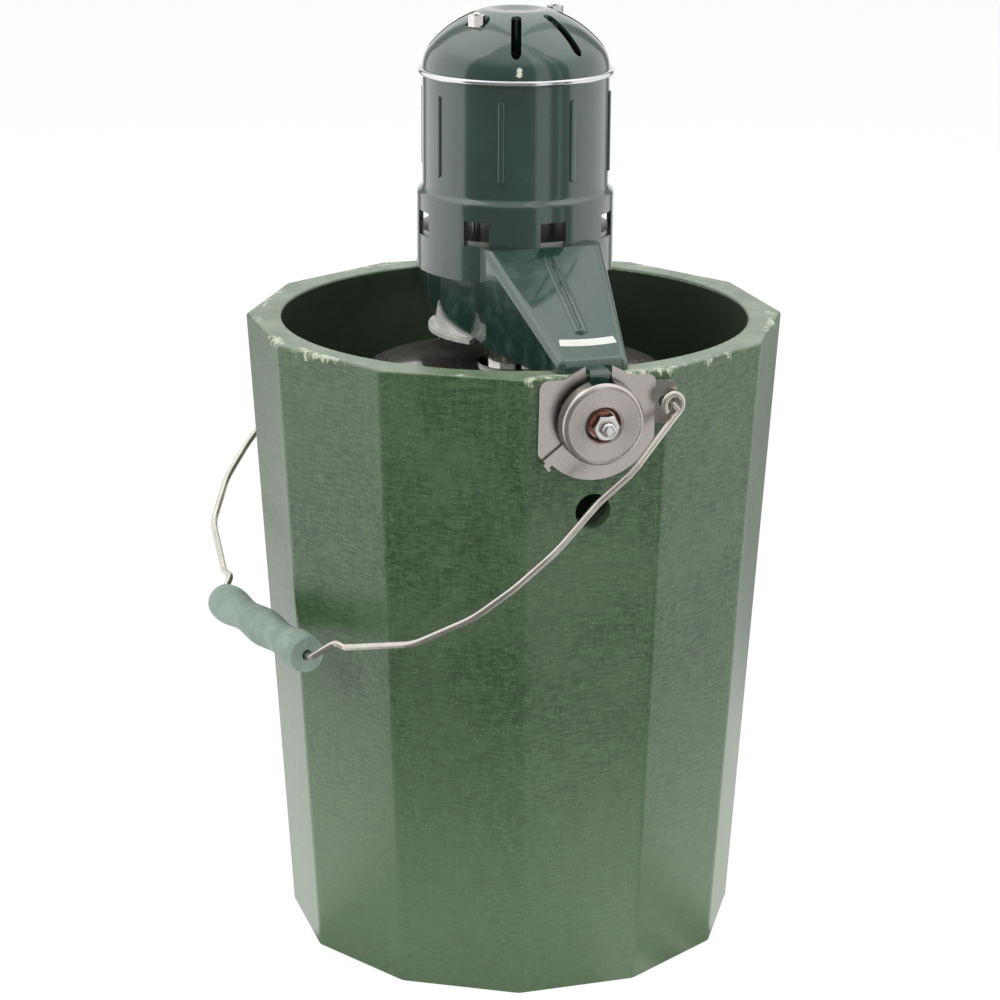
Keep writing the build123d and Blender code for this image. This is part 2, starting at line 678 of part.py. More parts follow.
# ================================================================ gear case
entry_out = Vector(1, 0, 0).rotate(Axis.Z, grommet_azimuth)
entry = Plane(origin=(0, 0, rim(grommet_level)), x_dir=(0, 0, 1), z_dir=entry_out)
with BuildPart() as gear_case:
    # Arms: a wedge-shaped channel that runs out to the rim on both sides.
    for side in (1, -1):
        along = Plane(origin=(0, 0, tub_height), x_dir=(0, -side, 0), z_dir=(-side, 0, 0))
        with BuildSketch(along) as arm:
            with BuildLine():
                Polyline(
                    (0, seam_level),
                    (case_radius, seam_level),
                    (arm_tip, arm_tip_top),
                    (arm_tip, rest_gap),
                    (foot_inner, rest_gap),
                    (arm_web_reach, neck_bottom),
                    (0, neck_bottom),
                    close=True,
                )
            make_face()
            fillet(arm.vertices().group_by(Axis.X)[-1].sort_by(Axis.Y)[-1], arm_edge)
        extrude(amount=arm_root_half_width + 2, both=True)
    # The arms narrow towards their tips.
    with BuildSketch(Plane.XY.offset(rim(neck_bottom))) as plan:
        with BuildLine():
            Polyline(
                (-arm_root_half_width, -case_radius),
                (-arm_tip_half_width, -arm_tip),
                (arm_tip_half_width, -arm_tip),
                (arm_root_half_width, -case_radius),
                (arm_root_half_width, case_radius),
                (arm_tip_half_width, arm_tip),
                (-arm_tip_half_width, arm_tip),
                (-arm_root_half_width, case_radius),
                close=True,
            )
        make_face()
    extrude(amount=seam_level - neck_bottom, mode=Mode.INTERSECT)
    arm_edges = gear_case.edges().filter_by(lambda edge: abs(edge.center().Y) > case_radius + 5)
    outline = arm_edges.filter_by(lambda edge: edge.center().Z > rim(arm_tip_top) - arm_edge + 1)
    fillet(outline, arm_edge)
    # Round case above, round neck below.
    with BuildSketch(Plane.XY.offset(rim(case_bottom))):
        Circle(case_radius)
    extrude(amount=seam_level - case_bottom)
    with BuildSketch(Plane.XY.offset(rim(neck_bottom))):
        Circle(neck_radius)
    extrude(amount=case_bottom - neck_bottom)
    # Raised double rib down each arm, with a round boss at its lower end.
    arm_fall = (seam_level - arm_tip_top) / (arm_tip - case_radius)
    rib_run = Vector(0, rib_end - rib_start, (rib_start - rib_end) * arm_fall)
    rib_level = rim(seam_level - (rib_start - case_radius) * arm_fall - rib_sink)
    with BuildPart(mode=Mode.PRIVATE) as ribs:
        for offset_x in (-rib_gap / 2, rib_gap / 2):
            rib_head = Vector(offset_x, rib_start, rib_level)
            with BuildSketch(Plane(origin=rib_head, z_dir=rib_run)):
                Circle(rib_radius)
            extrude(amount=rib_run.length)
            with Locations(rib_head, rib_head + rib_run):
                Sphere(rib_radius)
        with Locations(Vector(0, rib_start, rib_level) + rib_run):
            Sphere(rib_end_radius)
    add(ribs.part)
    add(rear(ribs.part))
    # Hollow arms, open underneath.
    for side in (1, -1):
        along = Plane(origin=(0, 0, tub_height), x_dir=(0, -side, 0), z_dir=(-side, 0, 0))
        hollow_start = neck_radius - 1
        hollow_end = foot_inner - arm_wall - 4
        with BuildPart(mode=Mode.PRIVATE) as hollow:
            with BuildSketch(along):
                with BuildLine():
                    Polyline(
                        (hollow_start, case_bottom - arm_wall + 1),
                        (case_radius + 6, seam_level - 6 * arm_fall - arm_wall * 1.3),
                        (hollow_end, seam_level - (hollow_end - case_radius) * arm_fall - arm_wall * 1.2),
                        (hollow_end, neck_bottom - 2),
                        (hollow_start, neck_bottom - 2),
                        close=True,
                    )
                make_face()
            extrude(amount=arm_root_half_width, both=True)
            with BuildSketch(Plane.XY.offset(rim(neck_bottom) - 3)):
                with BuildLine():
                    Polyline(
                        (-arm_root_half_width + arm_wall, -side * hollow_start),
                        (-arm_tip_half_width + arm_wall - 2, -side * hollow_end),
                        (arm_tip_half_width - arm_wall + 2, -side * hollow_end),
                        (arm_root_half_width - arm_wall, -side * hollow_start),
                        close=True,
                    )
                make_face()
            extrude(amount=seam_level - neck_bottom + 3, mode=Mode.INTERSECT)
            with BuildSketch(Plane.XY.offset(rim(neck_bottom) - 3)):
                Circle(neck_radius)
            extrude(amount=case_bottom - neck_bottom + 3, mode=Mode.SUBTRACT)
            with BuildSketch(Plane.XY.offset(rim(case_bottom))):
                Circle(case_radius)
            extrude(amount=seam_level - case_bottom, mode=Mode.SUBTRACT)
        add(hollow.part, mode=Mode.SUBTRACT)
    # Gear chamber, open at the top for the motor plate and at the neck for the cover.
    with BuildSketch(Plane.XY.offset(rim(shelf_level))):
        Circle(case_bore)
    extrude(amount=seam_level, mode=Mode.SUBTRACT)
    with BuildSketch(Plane.XY.offset(rim(bridge_top))):
        Circle(neck_bore)
    extrude(amount=seam_level, mode=Mode.SUBTRACT)
    with BuildSketch(Plane.XY.offset(rim(neck_bottom))):
        Circle(neck_bore)
    extrude(amount=bridge_bottom - neck_bottom, mode=Mode.SUBTRACT)
    # Window in the bridge for the intermediate pinion.
    pinion_tip = gear_module * (pinion_teeth / 2 + addendum)
    with BuildSketch(Plane.XY.offset(rim(bridge_bottom))):
        with PolarLocations(gear_centres, 1, start_angle=train_angle):
            Circle(pinion_tip + 1.6)
        Circle(post_spigot)
    extrude(amount=bridge_plate, mode=Mode.SUBTRACT)
    # Pocket in each arm's tip for its hook.
    for side in (1, -1):
        along = Plane(origin=(0, 0, tub_height), x_dir=(0, -side, 0), z_dir=(-side, 0, 0))
        with BuildSketch(along):
            with Locations((arm_tip, nose_top)):
                Rectangle(2 * arm_wall, 2 * nose_top, align=(Align.CENTER, Align.MAX))
        extrude(amount=nose_half_width, both=True, mode=Mode.SUBTRACT)
    # Bosses in the neck for the cover's screws, and posts in the chamber for the tie bolts.
    with BuildSketch(Plane.XY.offset(rim(cover_top))):
        with PolarLocations(cover_screw_circle, cover_screw_count, start_angle=screw_turn):
            Circle(cover_screw_radius + boss_wall)
    extrude(amount=bridge_bottom - cover_top)
    with BuildSketch(Plane.XY.offset(rim(cover_top))):
        with PolarLocations(cover_screw_circle, cover_screw_count, start_angle=screw_turn):
            Circle(cover_screw_radius)
    extrude(amount=cover_screw_length, mode=Mode.SUBTRACT)
    with BuildSketch(Plane.XY.offset(rim(bridge_top))):
        with PolarLocations(tie_bolt_circle, 2, start_angle=motor_azimuth + tie_bolt_turn):
            Circle(tie_bolt_radius + boss_wall)
    extrude(amount=seam_level - bridge_top)
    with BuildSketch(Plane.XY.offset(rim(tie_bolt_bottom))):
        with PolarLocations(tie_bolt_circle, 2, start_angle=motor_azimuth + tie_bolt_turn):
            Circle(tie_bolt_radius)
    extrude(amount=seam_level - tie_bolt_bottom, mode=Mode.SUBTRACT)
    # Cord entry in the side of the case.
    with BuildSketch(entry.offset(case_bore - case_wall)):
        Circle(grommet_neck)
    extrude(amount=2 * case_wall + grommet_flange, mode=Mode.SUBTRACT)
finish(gear_case.part, "gear_case")

# ================================================================ hooks of the arms
hook_back = facet_plane(out=bracket_plate + loose_gap + 0.5, drop=(hook_drop_top + hook_drop_bottom) / 2)
shank_in = -hook_back.origin.Y
shank_out = shank_in + hook_plate
with BuildPart() as arm_hook:
    # Let into the arm's tip, over the rim, and down into the latch.
    with BuildSketch(Plane(origin=(0, 0, tub_height), x_dir=(0, -1, 0), z_dir=(-1, 0, 0))):
        with BuildLine():
            Polyline(
                (arm_tip - arm_wall, nose_top),
                (shank_out - nose_corner, nose_top),
                (shank_out, nose_top - nose_corner),
                (shank_out, -hook_drop_top),
                (shank_out + hook_out, -hook_drop_top),
                (shank_out + hook_out, -hook_drop_bottom),
                (shank_in, -hook_drop_bottom),
                (shank_in, rest_gap),
                (arm_tip - arm_wall, rest_gap),
                close=True,
            )
        make_face()
    extrude(amount=nose_half_width, both=True)
pair("arm_hooks", arm_hook.part, rear(arm_hook.part))

# ================================================================ neck cover and its screws
with BuildPart() as neck_cover:
    with BuildSketch(Plane.XY.offset(rim(neck_bottom))):
        Circle(neck_bore - flat_gap)
    extrude(amount=cover_plate)
    # Thrust boss under the output gear, and the boss that holds the gear pin.
    with BuildSketch(Plane.XY.offset(rim(neck_bottom))):
        Circle(sleeve_radius + running_fit + boss_wall)
        with PolarLocations(gear_centres, 1, start_angle=train_angle):
            Circle(gear_pin_radius + boss_wall)
    extrude(amount=lower_gear_bottom - rest_gap - neck_bottom)
    with BuildSketch(Plane.XY.offset(rim(neck_bottom))):
        Circle(sleeve_radius + running_fit)
        with PolarLocations(gear_centres, 1, start_angle=train_angle):
            Circle(gear_pin_radius)
        with PolarLocations(cover_screw_circle, cover_screw_count, start_angle=screw_turn):
            Circle(cover_screw_radius)
    extrude(amount=lower_gear_bottom - neck_bottom, mode=Mode.SUBTRACT)
finish(neck_cover.part, "neck_cover")

with BuildPart() as cover_screws:
    with BuildSketch(Plane.XY.offset(rim(neck_bottom))):
        with PolarLocations(cover_screw_circle, cover_screw_count, start_angle=screw_turn):
            Circle(cover_screw_radius)
    extrude(amount=cover_screw_length)
    with BuildSketch(Plane.XY.offset(rim(neck_bottom))):
        with PolarLocations(cover_screw_circle, cover_screw_count, start_angle=screw_turn):
            Circle(cover_screw_head)
    extrude(amount=-cover_screw_head_height)
    fillet(cover_screws.edges().group_by(Axis.Z)[0], cover_screw_head_height * 0.5)
    with BuildSketch(Plane.XY.offset(rim(neck_bottom) - cover_screw_head_height)):
        with PolarLocations(cover_screw_circle, cover_screw_count, start_angle=screw_turn):
            Rectangle(2 * cover_screw_head, screw_slot)
    extrude(amount=cover_screw_head_height / 2, mode=Mode.SUBTRACT)
finish(cover_screws.part, "cover_screws")

# ================================================================ dasher socket
with BuildPart() as dasher_socket:
    with BuildSketch(Plane.XY.offset(rim(post_bottom))):
        Circle(post_radius)
    extrude(amount=bridge_bottom - post_bottom)
    with BuildSketch(Plane.XY.offset(rim(bridge_bottom))):
        Circle(post_spigot)
    extrude(amount=bridge_plate)
    with BuildSketch(Plane.XY.offset(rim(bridge_top))):
        Circle(post_flange_radius)
    extrude(amount=post_flange)
    # Square hole, with a lead-in, that keeps the dasher from turning.
    with BuildSketch(Plane.XY.offset(rim(post_bottom))):
        Rectangle(2 * (square_half + flat_gap), 2 * (square_half + flat_gap))
    extrude(amount=square_depth, mode=Mode.SUBTRACT)
finish(dasher_socket.part, "dasher_socket")

# ================================================================ gear train
wheel_turn = train_angle + 180 + 180 / wheel_teeth
pinion_turn = train_angle + 180 + 180 / pinion_teeth
with BuildPart() as output_gear:
    with BuildSketch(Plane.XY.offset(rim(lower_gear_bottom))):
        Polygon(*gear_points(output_teeth, train_angle), align=None)
    extrude(amount=lower_gear_width)
    with BuildSketch(Plane.XY.offset(rim(sleeve_bottom))):
        Circle(sleeve_radius)
    extrude(amount=lower_gear_bottom - sleeve_bottom)
    # Two dogs that drive the lid.
    with BuildSketch(Plane.XY.offset(rim(sleeve_bottom))) as dogs:
        Circle(sleeve_radius)
        Circle(dog_inner, mode=Mode.SUBTRACT)
        Rectangle(2 * sleeve_radius, 2 * dog_half_width, mode=Mode.INTERSECT)
    extrude(amount=-dog_length)
    with BuildSketch(Plane.XY.offset(rim(sleeve_bottom))):
        Circle(post_radius + running_fit)
    extrude(amount=lower_gear_bottom + lower_gear_width - sleeve_bottom, mode=Mode.SUBTRACT)
finish(output_gear.part, "output_gear")

gear_spot = Vector(gear_centres, 0, 0).rotate(Axis.Z, train_angle)
with BuildPart() as intermediate_gear:
    with BuildSketch(Plane(origin=gear_spot + Vector(0, 0, rim(lower_gear_bottom)))):
        Polygon(*gear_points(pinion_teeth, pinion_turn), align=None)
    extrude(amount=upper_gear_bottom - lower_gear_bottom)
    with BuildSketch(Plane(origin=gear_spot + Vector(0, 0, rim(upper_gear_bottom)))):
        Polygon(*gear_points(wheel_teeth, wheel_turn), align=None)
    extrude(amount=upper_gear_width)
    with BuildSketch(Plane(origin=gear_spot + Vector(0, 0, rim(lower_gear_bottom)))):
        Circle(gear_pin_radius + running_fit)
    extrude(amount=upper_gear_bottom + upper_gear_width - lower_gear_bottom, mode=Mode.SUBTRACT)
finish(intermediate_gear.part, "intermediate_gear")

with BuildPart() as gear_pin:
    with BuildSketch(Plane(origin=gear_spot + Vector(0, 0, rim(neck_bottom)))):
        Circle(gear_pin_radius)
    extrude(amount=plate_top - neck_bottom)
    chamfer(gear_pin.edges().filter_by(GeomType.CIRCLE), gear_pin_radius / 6)
finish(gear_pin.part, "gear_pin")

# ================================================================ motor plate and end bell
with BuildPart() as motor_plate:
    with BuildSketch(Plane.XY.offset(rim(seam_level))):
        Circle(bell_bore - flat_gap)
    extrude(amount=motor_plate_height)
    with BuildSketch(Plane.XY.offset(rim(plate_top))):
        Circle(bearing_radius + bearing_wall)
        Circle(bearing_radius, mode=Mode.SUBTRACT)
    extrude(amount=bearing_length)
    # Stop for the intermediate gear, round its pin.
    with BuildSketch(Plane(origin=gear_spot + Vector(0, 0, rim(seam_level)))):
        Circle(gear_pin_radius + boss_wall)
    extrude(amount=-(seam_level - upper_gear_bottom - upper_gear_width - rest_gap))
    with BuildSketch(Plane.XY.offset(rim(plate_top))):
        Circle(shaft_radius + loose_gap)
        with PolarLocations(gear_centres, 1, start_angle=train_angle):
            Circle(gear_pin_radius)
        with PolarLocations(tie_bolt_circle, 2, start_angle=motor_azimuth + tie_bolt_turn):
            Circle(tie_bolt_radius)
    extrude(amount=-(plate_top - upper_gear_bottom), mode=Mode.SUBTRACT)
finish(motor_plate.part, "motor_plate")

with BuildPart() as end_bell:
    with BuildSketch(Plane.XZ):
        with BuildLine():
            Spline(
                (case_radius, rim(bell_shoulder)),
                (shell_radius, rim(bell_neck)),
                tangents=((0, 1), (0, 1)),
            )
            Polyline(
                (shell_radius, rim(bell_neck)),
                (shell_bore - running_fit, rim(bell_neck)),
                (shell_bore - running_fit, rim(bell_neck + spigot_height)),
                (shell_bore - running_fit - spigot_wall, rim(bell_neck + spigot_height)),
                (shell_bore - running_fit - spigot_wall, rim(bell_neck)),
                (bell_flange_inner, rim(bell_neck)),
                (bell_flange_inner, rim(bell_neck - bell_flange)),
                (shell_radius - bell_flange, rim(bell_neck - bell_flange)),
                (bell_bore, rim(bell_shoulder - bell_wall)),
                (bell_bore, rim(seam_level)),
                (case_radius, rim(seam_level)),
                (case_radius, rim(bell_shoulder)),
            )
        make_face()
    revolve(axis=Axis.Z)
    # Air windows, notched up from the seam.
    with BuildSketch(*outward_planes(window_count, motor_azimuth + 180 / window_count, seam_level)):
        RectangleRounded(window_width, 2 * (window_top - seam_level), window_corner)
    extrude(amount=case_radius + bell_wall, mode=Mode.SUBTRACT)
finish(end_bell.part, "end_bell")

# ================================================================ motor shell and dome
with BuildPart() as motor_shell:
    with BuildSketch(Plane.XY.offset(rim(bell_neck))):
        Circle(shell_radius)
    extrude(amount=shell_top - bell_neck)
    # Pressed ribs with rounded ends.
    rib_level = (shell_rib_bottom + shell_rib_top) / 2
    with BuildSketch(*outward_planes(shell_rib_count, motor_azimuth + shell_rib_turn, rib_level)):
        SlotOverall(shell_rib_top - shell_rib_bottom, shell_rib_width, rotation=90)
    extrude(amount=shell_radius + shell_rib_proud)
    rib_tops = motor_shell.edges().filter_by(
        lambda edge: hypot(edge.center().X, edge.center().Y) > shell_radius + shell_rib_proud / 2
    )
    fillet(rib_tops, shell_rib_proud * 0.8)
    with BuildSketch(Plane.XY.offset(rim(bell_neck))):
        Circle(shell_bore)
    extrude(amount=shell_top - bell_neck, mode=Mode.SUBTRACT)
finish(motor_shell.part, "motor_shell")

with BuildPart() as trim_ring:
    with BuildSketch(Plane.XZ):
        with Locations(((shell_bore - spigot_wall + trim_radius) / 2, rim(shell_top + trim_web / 2))):
            Rectangle(trim_radius - shell_bore + spigot_wall, trim_web)
        with Locations((trim_radius, rim(shell_top + trim_web / 2))):
            Circle(trim_bead)
    revolve(axis=Axis.Z)
finish(trim_ring.part, "trim_ring")

dome_bottom = shell_top + trim_web


def dome_profile(inset):
    """Half section of the dome in three tangent arcs, drawn in by a wall."""
    with BuildSketch(Plane.XZ) as half:
        with BuildLine():
            foot = (shell_radius - inset, rim(dome_bottom))
            shoulder = (dome_shoulder_radius - inset, rim(dome_shoulder - inset / 3))
            brow = (dome_brow_radius - inset / 2, rim(dome_brow - inset))
            crown = (dome_crown_radius - inset / 2, rim(dome_crown - inset))
            lower = TangentArc(foot, shoulder, tangent=(0, 1))
            upper = TangentArc(lower @ 1, brow, tangent=lower % 1)
            TangentArc(upper @ 1, crown, tangent=upper % 1)
            Polyline(
                crown,
                (dome_crown_radius / 2, rim(dome_crown - inset - dome_dish)),
                (0, rim(dome_crown - inset - dome_dish)),
                (0, rim(dome_bottom)),
                foot,
            )
        make_face()
    return half.sketch


tie_azimuth = motor_azimuth + tie_bolt_turn
with BuildPart() as dome_space:
    # Inside of the dome, less the upper bearing's boss and the pads under the nuts.
    add(dome_profile(dome_wall))
    revolve(axis=Axis.Z)
    with BuildSketch(Plane.XY.offset(rim(upper_bearing_bottom))):
        Circle(bearing_radius + bearing_wall)
    extrude(amount=dome_crown + dome_wall - upper_bearing_bottom, mode=Mode.SUBTRACT)
    with BuildSketch(Plane.XY.offset(rim(tie_pocket_level - dome_wall))):
        with PolarLocations(tie_bolt_circle, 2, start_angle=tie_azimuth):
            Circle(tie_pocket_radius + dome_wall)
    extrude(amount=dome_crown + dome_wall - tie_pocket_level, mode=Mode.SUBTRACT)
with BuildPart() as dome_cap:
    add(dome_profile(0.0))
    revolve(axis=Axis.Z)
    add(dome_space.part, mode=Mode.SUBTRACT)
    # Seat of the upper bearing, and room for the end of the shaft.
    with BuildSketch(Plane.XY.offset(rim(upper_bearing_bottom))):
        Circle(bearing_radius)
    extrude(amount=bearing_length, mode=Mode.SUBTRACT)
    with BuildSketch(Plane.XY.offset(rim(upper_bearing_bottom + bearing_length))):
        Circle(shaft_radius + loose_gap)
    extrude(amount=shaft_top + rest_gap - upper_bearing_bottom - bearing_length, mode=Mode.SUBTRACT)
    # Cooling slots, with the nuts' pockets in the places of two of them.
    slot_middle = (dome_slot_inner + dome_slot_outer) / 2
    for half in (0, 180):
        with BuildSketch(Plane.XY.offset(rim(dome_slot_floor))):
            with PolarLocations(slot_middle, 3, start_angle=motor_azimuth + half, angular_range=90, endpoint=True):
                SlotOverall(dome_slot_outer - dome_slot_inner, dome_slot_width)
        extrude(amount=dome_crown + dome_wall - dome_slot_floor, mode=Mode.SUBTRACT)
    with BuildSketch(Plane.XY.offset(rim(tie_pocket_level))):
        with PolarLocations(tie_bolt_circle, 2, start_angle=tie_azimuth):
            Circle(tie_pocket_radius)
    extrude(amount=dome_crown + dome_wall - tie_pocket_level, mode=Mode.SUBTRACT)
    with BuildSketch(Plane.XY.offset(rim(tie_pocket_level))):
        with PolarLocations(tie_bolt_circle, 2, start_angle=tie_azimuth):
            Circle(tie_bolt_radius)
    extrude(amount=-2 * dome_wall, mode=Mode.SUBTRACT)
finish(dome_cap.part, "dome_cap")

# ================================================================ tie bolts
with BuildPart() as tie_bolts:
    with BuildSketch(Plane.XY.offset(rim(tie_bolt_bottom))):
        with PolarLocations(tie_bolt_circle, 2, start_angle=tie_azimuth):
            Circle(tie_bolt_radius)
    extrude(amount=tie_pocket_level + tie_nut_height + tie_bolt_end - tie_bolt_bottom)
    chamfer(tie_bolts.edges().filter_by(GeomType.CIRCLE), tie_bolt_radius / 5)
finish(tie_bolts.part, "tie_bolts")

with BuildPart() as tie_nuts:
    with BuildSketch(Plane.XY.offset(rim(tie_pocket_level))):
        with PolarLocations(tie_bolt_circle, 2, start_angle=tie_azimuth):
            RegularPolygon(tie_nut_across_flats / 2, 6, major_radius=False, rotation=30)
            Circle(tie_bolt_radius, mode=Mode.SUBTRACT)
    extrude(amount=tie_nut_height)
finish(tie_nuts.part, "tie_nuts")

# ================================================================ motor inside
with BuildPart() as shaft_bearings:
    for level in (plate_top, upper_bearing_bottom):
        with BuildSketch(Plane.XY.offset(rim(level))):
            Circle(bearing_radius)
            Circle(shaft_radius + running_fit, mode=Mode.SUBTRACT)
        extrude(amount=bearing_length)
finish(shaft_bearings.part, "shaft_bearings")

def coil_sections(grow):
    """Four arc-shaped winding sections, which leave room for the tie bolts."""
    with BuildSketch() as sections:
        Circle(coil_outer + grow)
        Circle(coil_inner - grow, mode=Mode.SUBTRACT)
        with PolarLocations((coil_inner + coil_outer) / 2, 4, start_angle=tie_azimuth):
            Rectangle(coil_outer, coil_gap - 2 * grow, mode=Mode.SUBTRACT)
    return sections.sketch


with BuildPart() as field_coils:
    with BuildSketch(Plane.XY.offset(rim(stack_bottom - coil_overhang))):
        add(coil_sections(0.0))
    extrude(amount=stack_top - stack_bottom + 2 * coil_overhang)
finish(field_coils.part, "field_coils")

with BuildPart() as stator_core:
    with BuildSketch(Plane.XY.offset(rim(stack_bottom))):
        Circle(shell_bore - flat_gap)
        Circle(stator_bore, mode=Mode.SUBTRACT)
        with PolarLocations(tie_bolt_circle, 2, start_angle=tie_azimuth):
            Circle(tie_bolt_radius + running_fit, mode=Mode.SUBTRACT)
        add(coil_sections(flat_gap), mode=Mode.SUBTRACT)
    extrude(amount=stack_top - stack_bottom)
finish(stator_core.part, "stator_core")

with BuildPart() as motor_shaft:
    with BuildSketch(Plane.XY.offset(rim(shaft_bottom))):
        Circle(shaft_step_radius)
    extrude(amount=shaft_step_level - shaft_bottom)
    with BuildSketch(Plane.XY.offset(rim(shaft_step_level))):
        Circle(shaft_radius)
    extrude(amount=shaft_top - shaft_step_level)
    chamfer(motor_shaft.edges().group_by(Axis.Z)[-1], shaft_radius / 8)
finish(motor_shaft.part, "motor_shaft")

with BuildPart() as rotor_core:
    with BuildSketch(Plane.XY.offset(rim(stack_bottom))):
        Circle(rotor_radius)
        with PolarLocations(rotor_radius - rotor_slot_depth / 2, rotor_slots):
            Rectangle(rotor_slot_depth + loose_gap, rotor_slot_width, mode=Mode.SUBTRACT)
        Circle(shaft_radius, mode=Mode.SUBTRACT)
    extrude(amount=stack_top - stack_bottom)
finish(rotor_core.part, "rotor_core")

with BuildPart() as motor_pinion:
    with BuildSketch(Plane.XY.offset(rim(upper_gear_bottom))):
        Polygon(*gear_points(motor_teeth, train_angle), align=None)
        Circle(shaft_step_radius, mode=Mode.SUBTRACT)
    extrude(amount=upper_gear_width)
finish(motor_pinion.part, "motor_pinion")

with BuildPart() as cooling_fan:
    with BuildSketch(Plane.XY.offset(rim(fan_bottom))):
        Circle(fan_radius)
    extrude(amount=fan_disc)
    with BuildSketch(Plane.XY.offset(rim(fan_bottom))):
        Circle(fan_hub_radius)
        with PolarLocations((fan_radius + fan_hub_radius) / 2 - fan_disc, fan_blades):
            Rectangle(fan_radius - fan_hub_radius, fan_disc)
    extrude(amount=fan_height)
    with BuildSketch(Plane.XY.offset(rim(fan_bottom))):
        Circle(shaft_radius)
    extrude(amount=fan_height, mode=Mode.SUBTRACT)
finish(cooling_fan.part, "cooling_fan")

# ================================================================ cord grommet and neck collar
with BuildPart() as cord_grommet:
    with BuildSketch(entry.offset(case_radius)):
        Circle(grommet_radius)
    extrude(amount=grommet_flange)
    fillet(cord_grommet.edges().sort_by(Axis(entry.origin, entry.z_dir))[-1], grommet_flange / 3)
    flange_sag = case_bore - (case_bore ** 2 - grommet_radius ** 2) ** 0.5
    with BuildSketch(entry.offset(case_bore - flange_sag - flat_gap)):
        Circle(grommet_radius)
    extrude(amount=-grommet_flange)
    with BuildSketch(entry.offset(case_bore - flange_sag - flat_gap)):
        Circle(grommet_neck)
    extrude(amount=case_wall + flange_sag + flat_gap)
    with BuildSketch(entry.offset(case_bore - case_wall)):
        Circle(grommet_bore)
    extrude(amount=3 * case_wall, mode=Mode.SUBTRACT)
finish(cord_grommet.part, "cord_grommet")

with BuildPart() as neck_collar:
    collar_inner = neck_radius + running_fit
    with BuildSketch(Plane.XZ):
        with BuildLine():
            FilletPolyline(
                (collar_inner, rim(collar_bottom)),
                (collar_inner + collar_flange_reach, rim(collar_bottom)),
                (collar_inner + collar_flange_reach, rim(collar_bottom + collar_flange)),
                (collar_inner + collar_wall, rim(collar_bottom + collar_flange)),
                (collar_inner + collar_wall / 3, rim(collar_top)),
                (collar_inner, rim(collar_top)),
                close=True,
                radius=0.5,
            )
        make_face()
    revolve(axis=Axis.Z, revolution_arc=collar_sweep)
    # The wall's top falls away on a slant towards the forward end.
    collar_high = Vector(collar_inner, 0, rim(collar_top)).rotate(Axis.Z, collar_sweep / 4)
    collar_low = Vector(collar_inner, 0, rim(collar_bottom + collar_flange)).rotate(Axis.Z, collar_sweep)
    slant = Plane(origin=collar_high, x_dir=collar_low - collar_high, z_dir=(collar_low - collar_high).cross(Vector(0, 0, 1).cross(collar_low - collar_high)))
    split(bisect_by=slant, keep=Keep.BOTTOM)
finish(neck_collar.part.rotate(Axis.Z, collar_start), "neck_collar")

# ================================================================ can
with BuildPart() as can:
    with BuildSketch(Plane.XZ):
        roll_level = can_top - can_roll
        with BuildLine():
            outer = FilletPolyline(
                (0, can_bottom),
                (can_radius, can_bottom),
                (can_radius, roll_level),
                radius=can_corner,
            )
            inner = FilletPolyline(
                (can_radius - can_wall, roll_level),
                (can_radius - can_wall, can_bottom + can_wall),
                (0, can_bottom + can_wall),
                radius=can_corner - can_wall,
            )
            Line(outer @ 1, inner @ 0)
            Line(inner @ 1, outer @ 0)
        make_face()
        # Rolled rim.
        with Locations((can_radius, roll_level)):
            Circle(can_roll)
    revolve(axis=Axis.Z)
finish(can.part, "can")

pivot_tip_level = tub_floor + pivot_play
with BuildPart() as can_pivot:
    with BuildSketch(Plane.XY.offset(pivot_tip_level)):
        Circle(pivot_radius)
    extrude(amount=can_bottom - pivot_tip_level)
    fillet(can_pivot.edges().group_by(Axis.Z)[0], pivot_radius * 0.6)
    with BuildSketch(Plane.XY.offset(can_bottom)):
        Circle(pivot_flange_radius)
    extrude(amount=-pivot_flange)
finish(can_pivot.part, "can_pivot")

floor_level = can_bottom + can_wall
with BuildPart() as dasher_centre_pin:
    with BuildSketch(Plane.XY.offset(floor_level)):
        Circle(centre_pin_radius)
    extrude(amount=centre_pin_height)
    chamfer(dasher_centre_pin.edges().group_by(Axis.Z)[-1], centre_pin_radius / 4)
finish(dasher_centre_pin.part, "dasher_centre_pin")

# ================================================================ lid
with BuildPart() as lid:
    with BuildSketch(Plane.XZ):
        top = rim(-lid_top_drop)
        with BuildLine():
            outer = FilletPolyline(
                (hub_radius, top + lid_step_rise),
                (lid_step_radius, top + lid_step_rise),
                (lid_step_radius + lid_step_rise, top),
                (lid_radius, top),
                (lid_radius, top - lid_skirt),
                radius=(lid_corner, lid_corner / 2, lid_corner),
            )
            inner = FilletPolyline(
                (lid_radius - lid_wall, top - lid_skirt),
                (lid_radius - lid_wall, top - lid_wall),
                (lid_step_radius + lid_step_rise - lid_wall / 2, top - lid_wall),
                (lid_step_radius - lid_wall / 2, top + lid_step_rise - lid_wall),
                (hub_radius, top + lid_step_rise - lid_wall),
                radius=(0.4, lid_corner, lid_corner / 2),
            )
            Line(outer @ 1, inner @ 0)
            Line(inner @ 1, outer @ 0)
        make_face()
    revolve(axis=Axis.Z)
finish(lid.part, "lid")

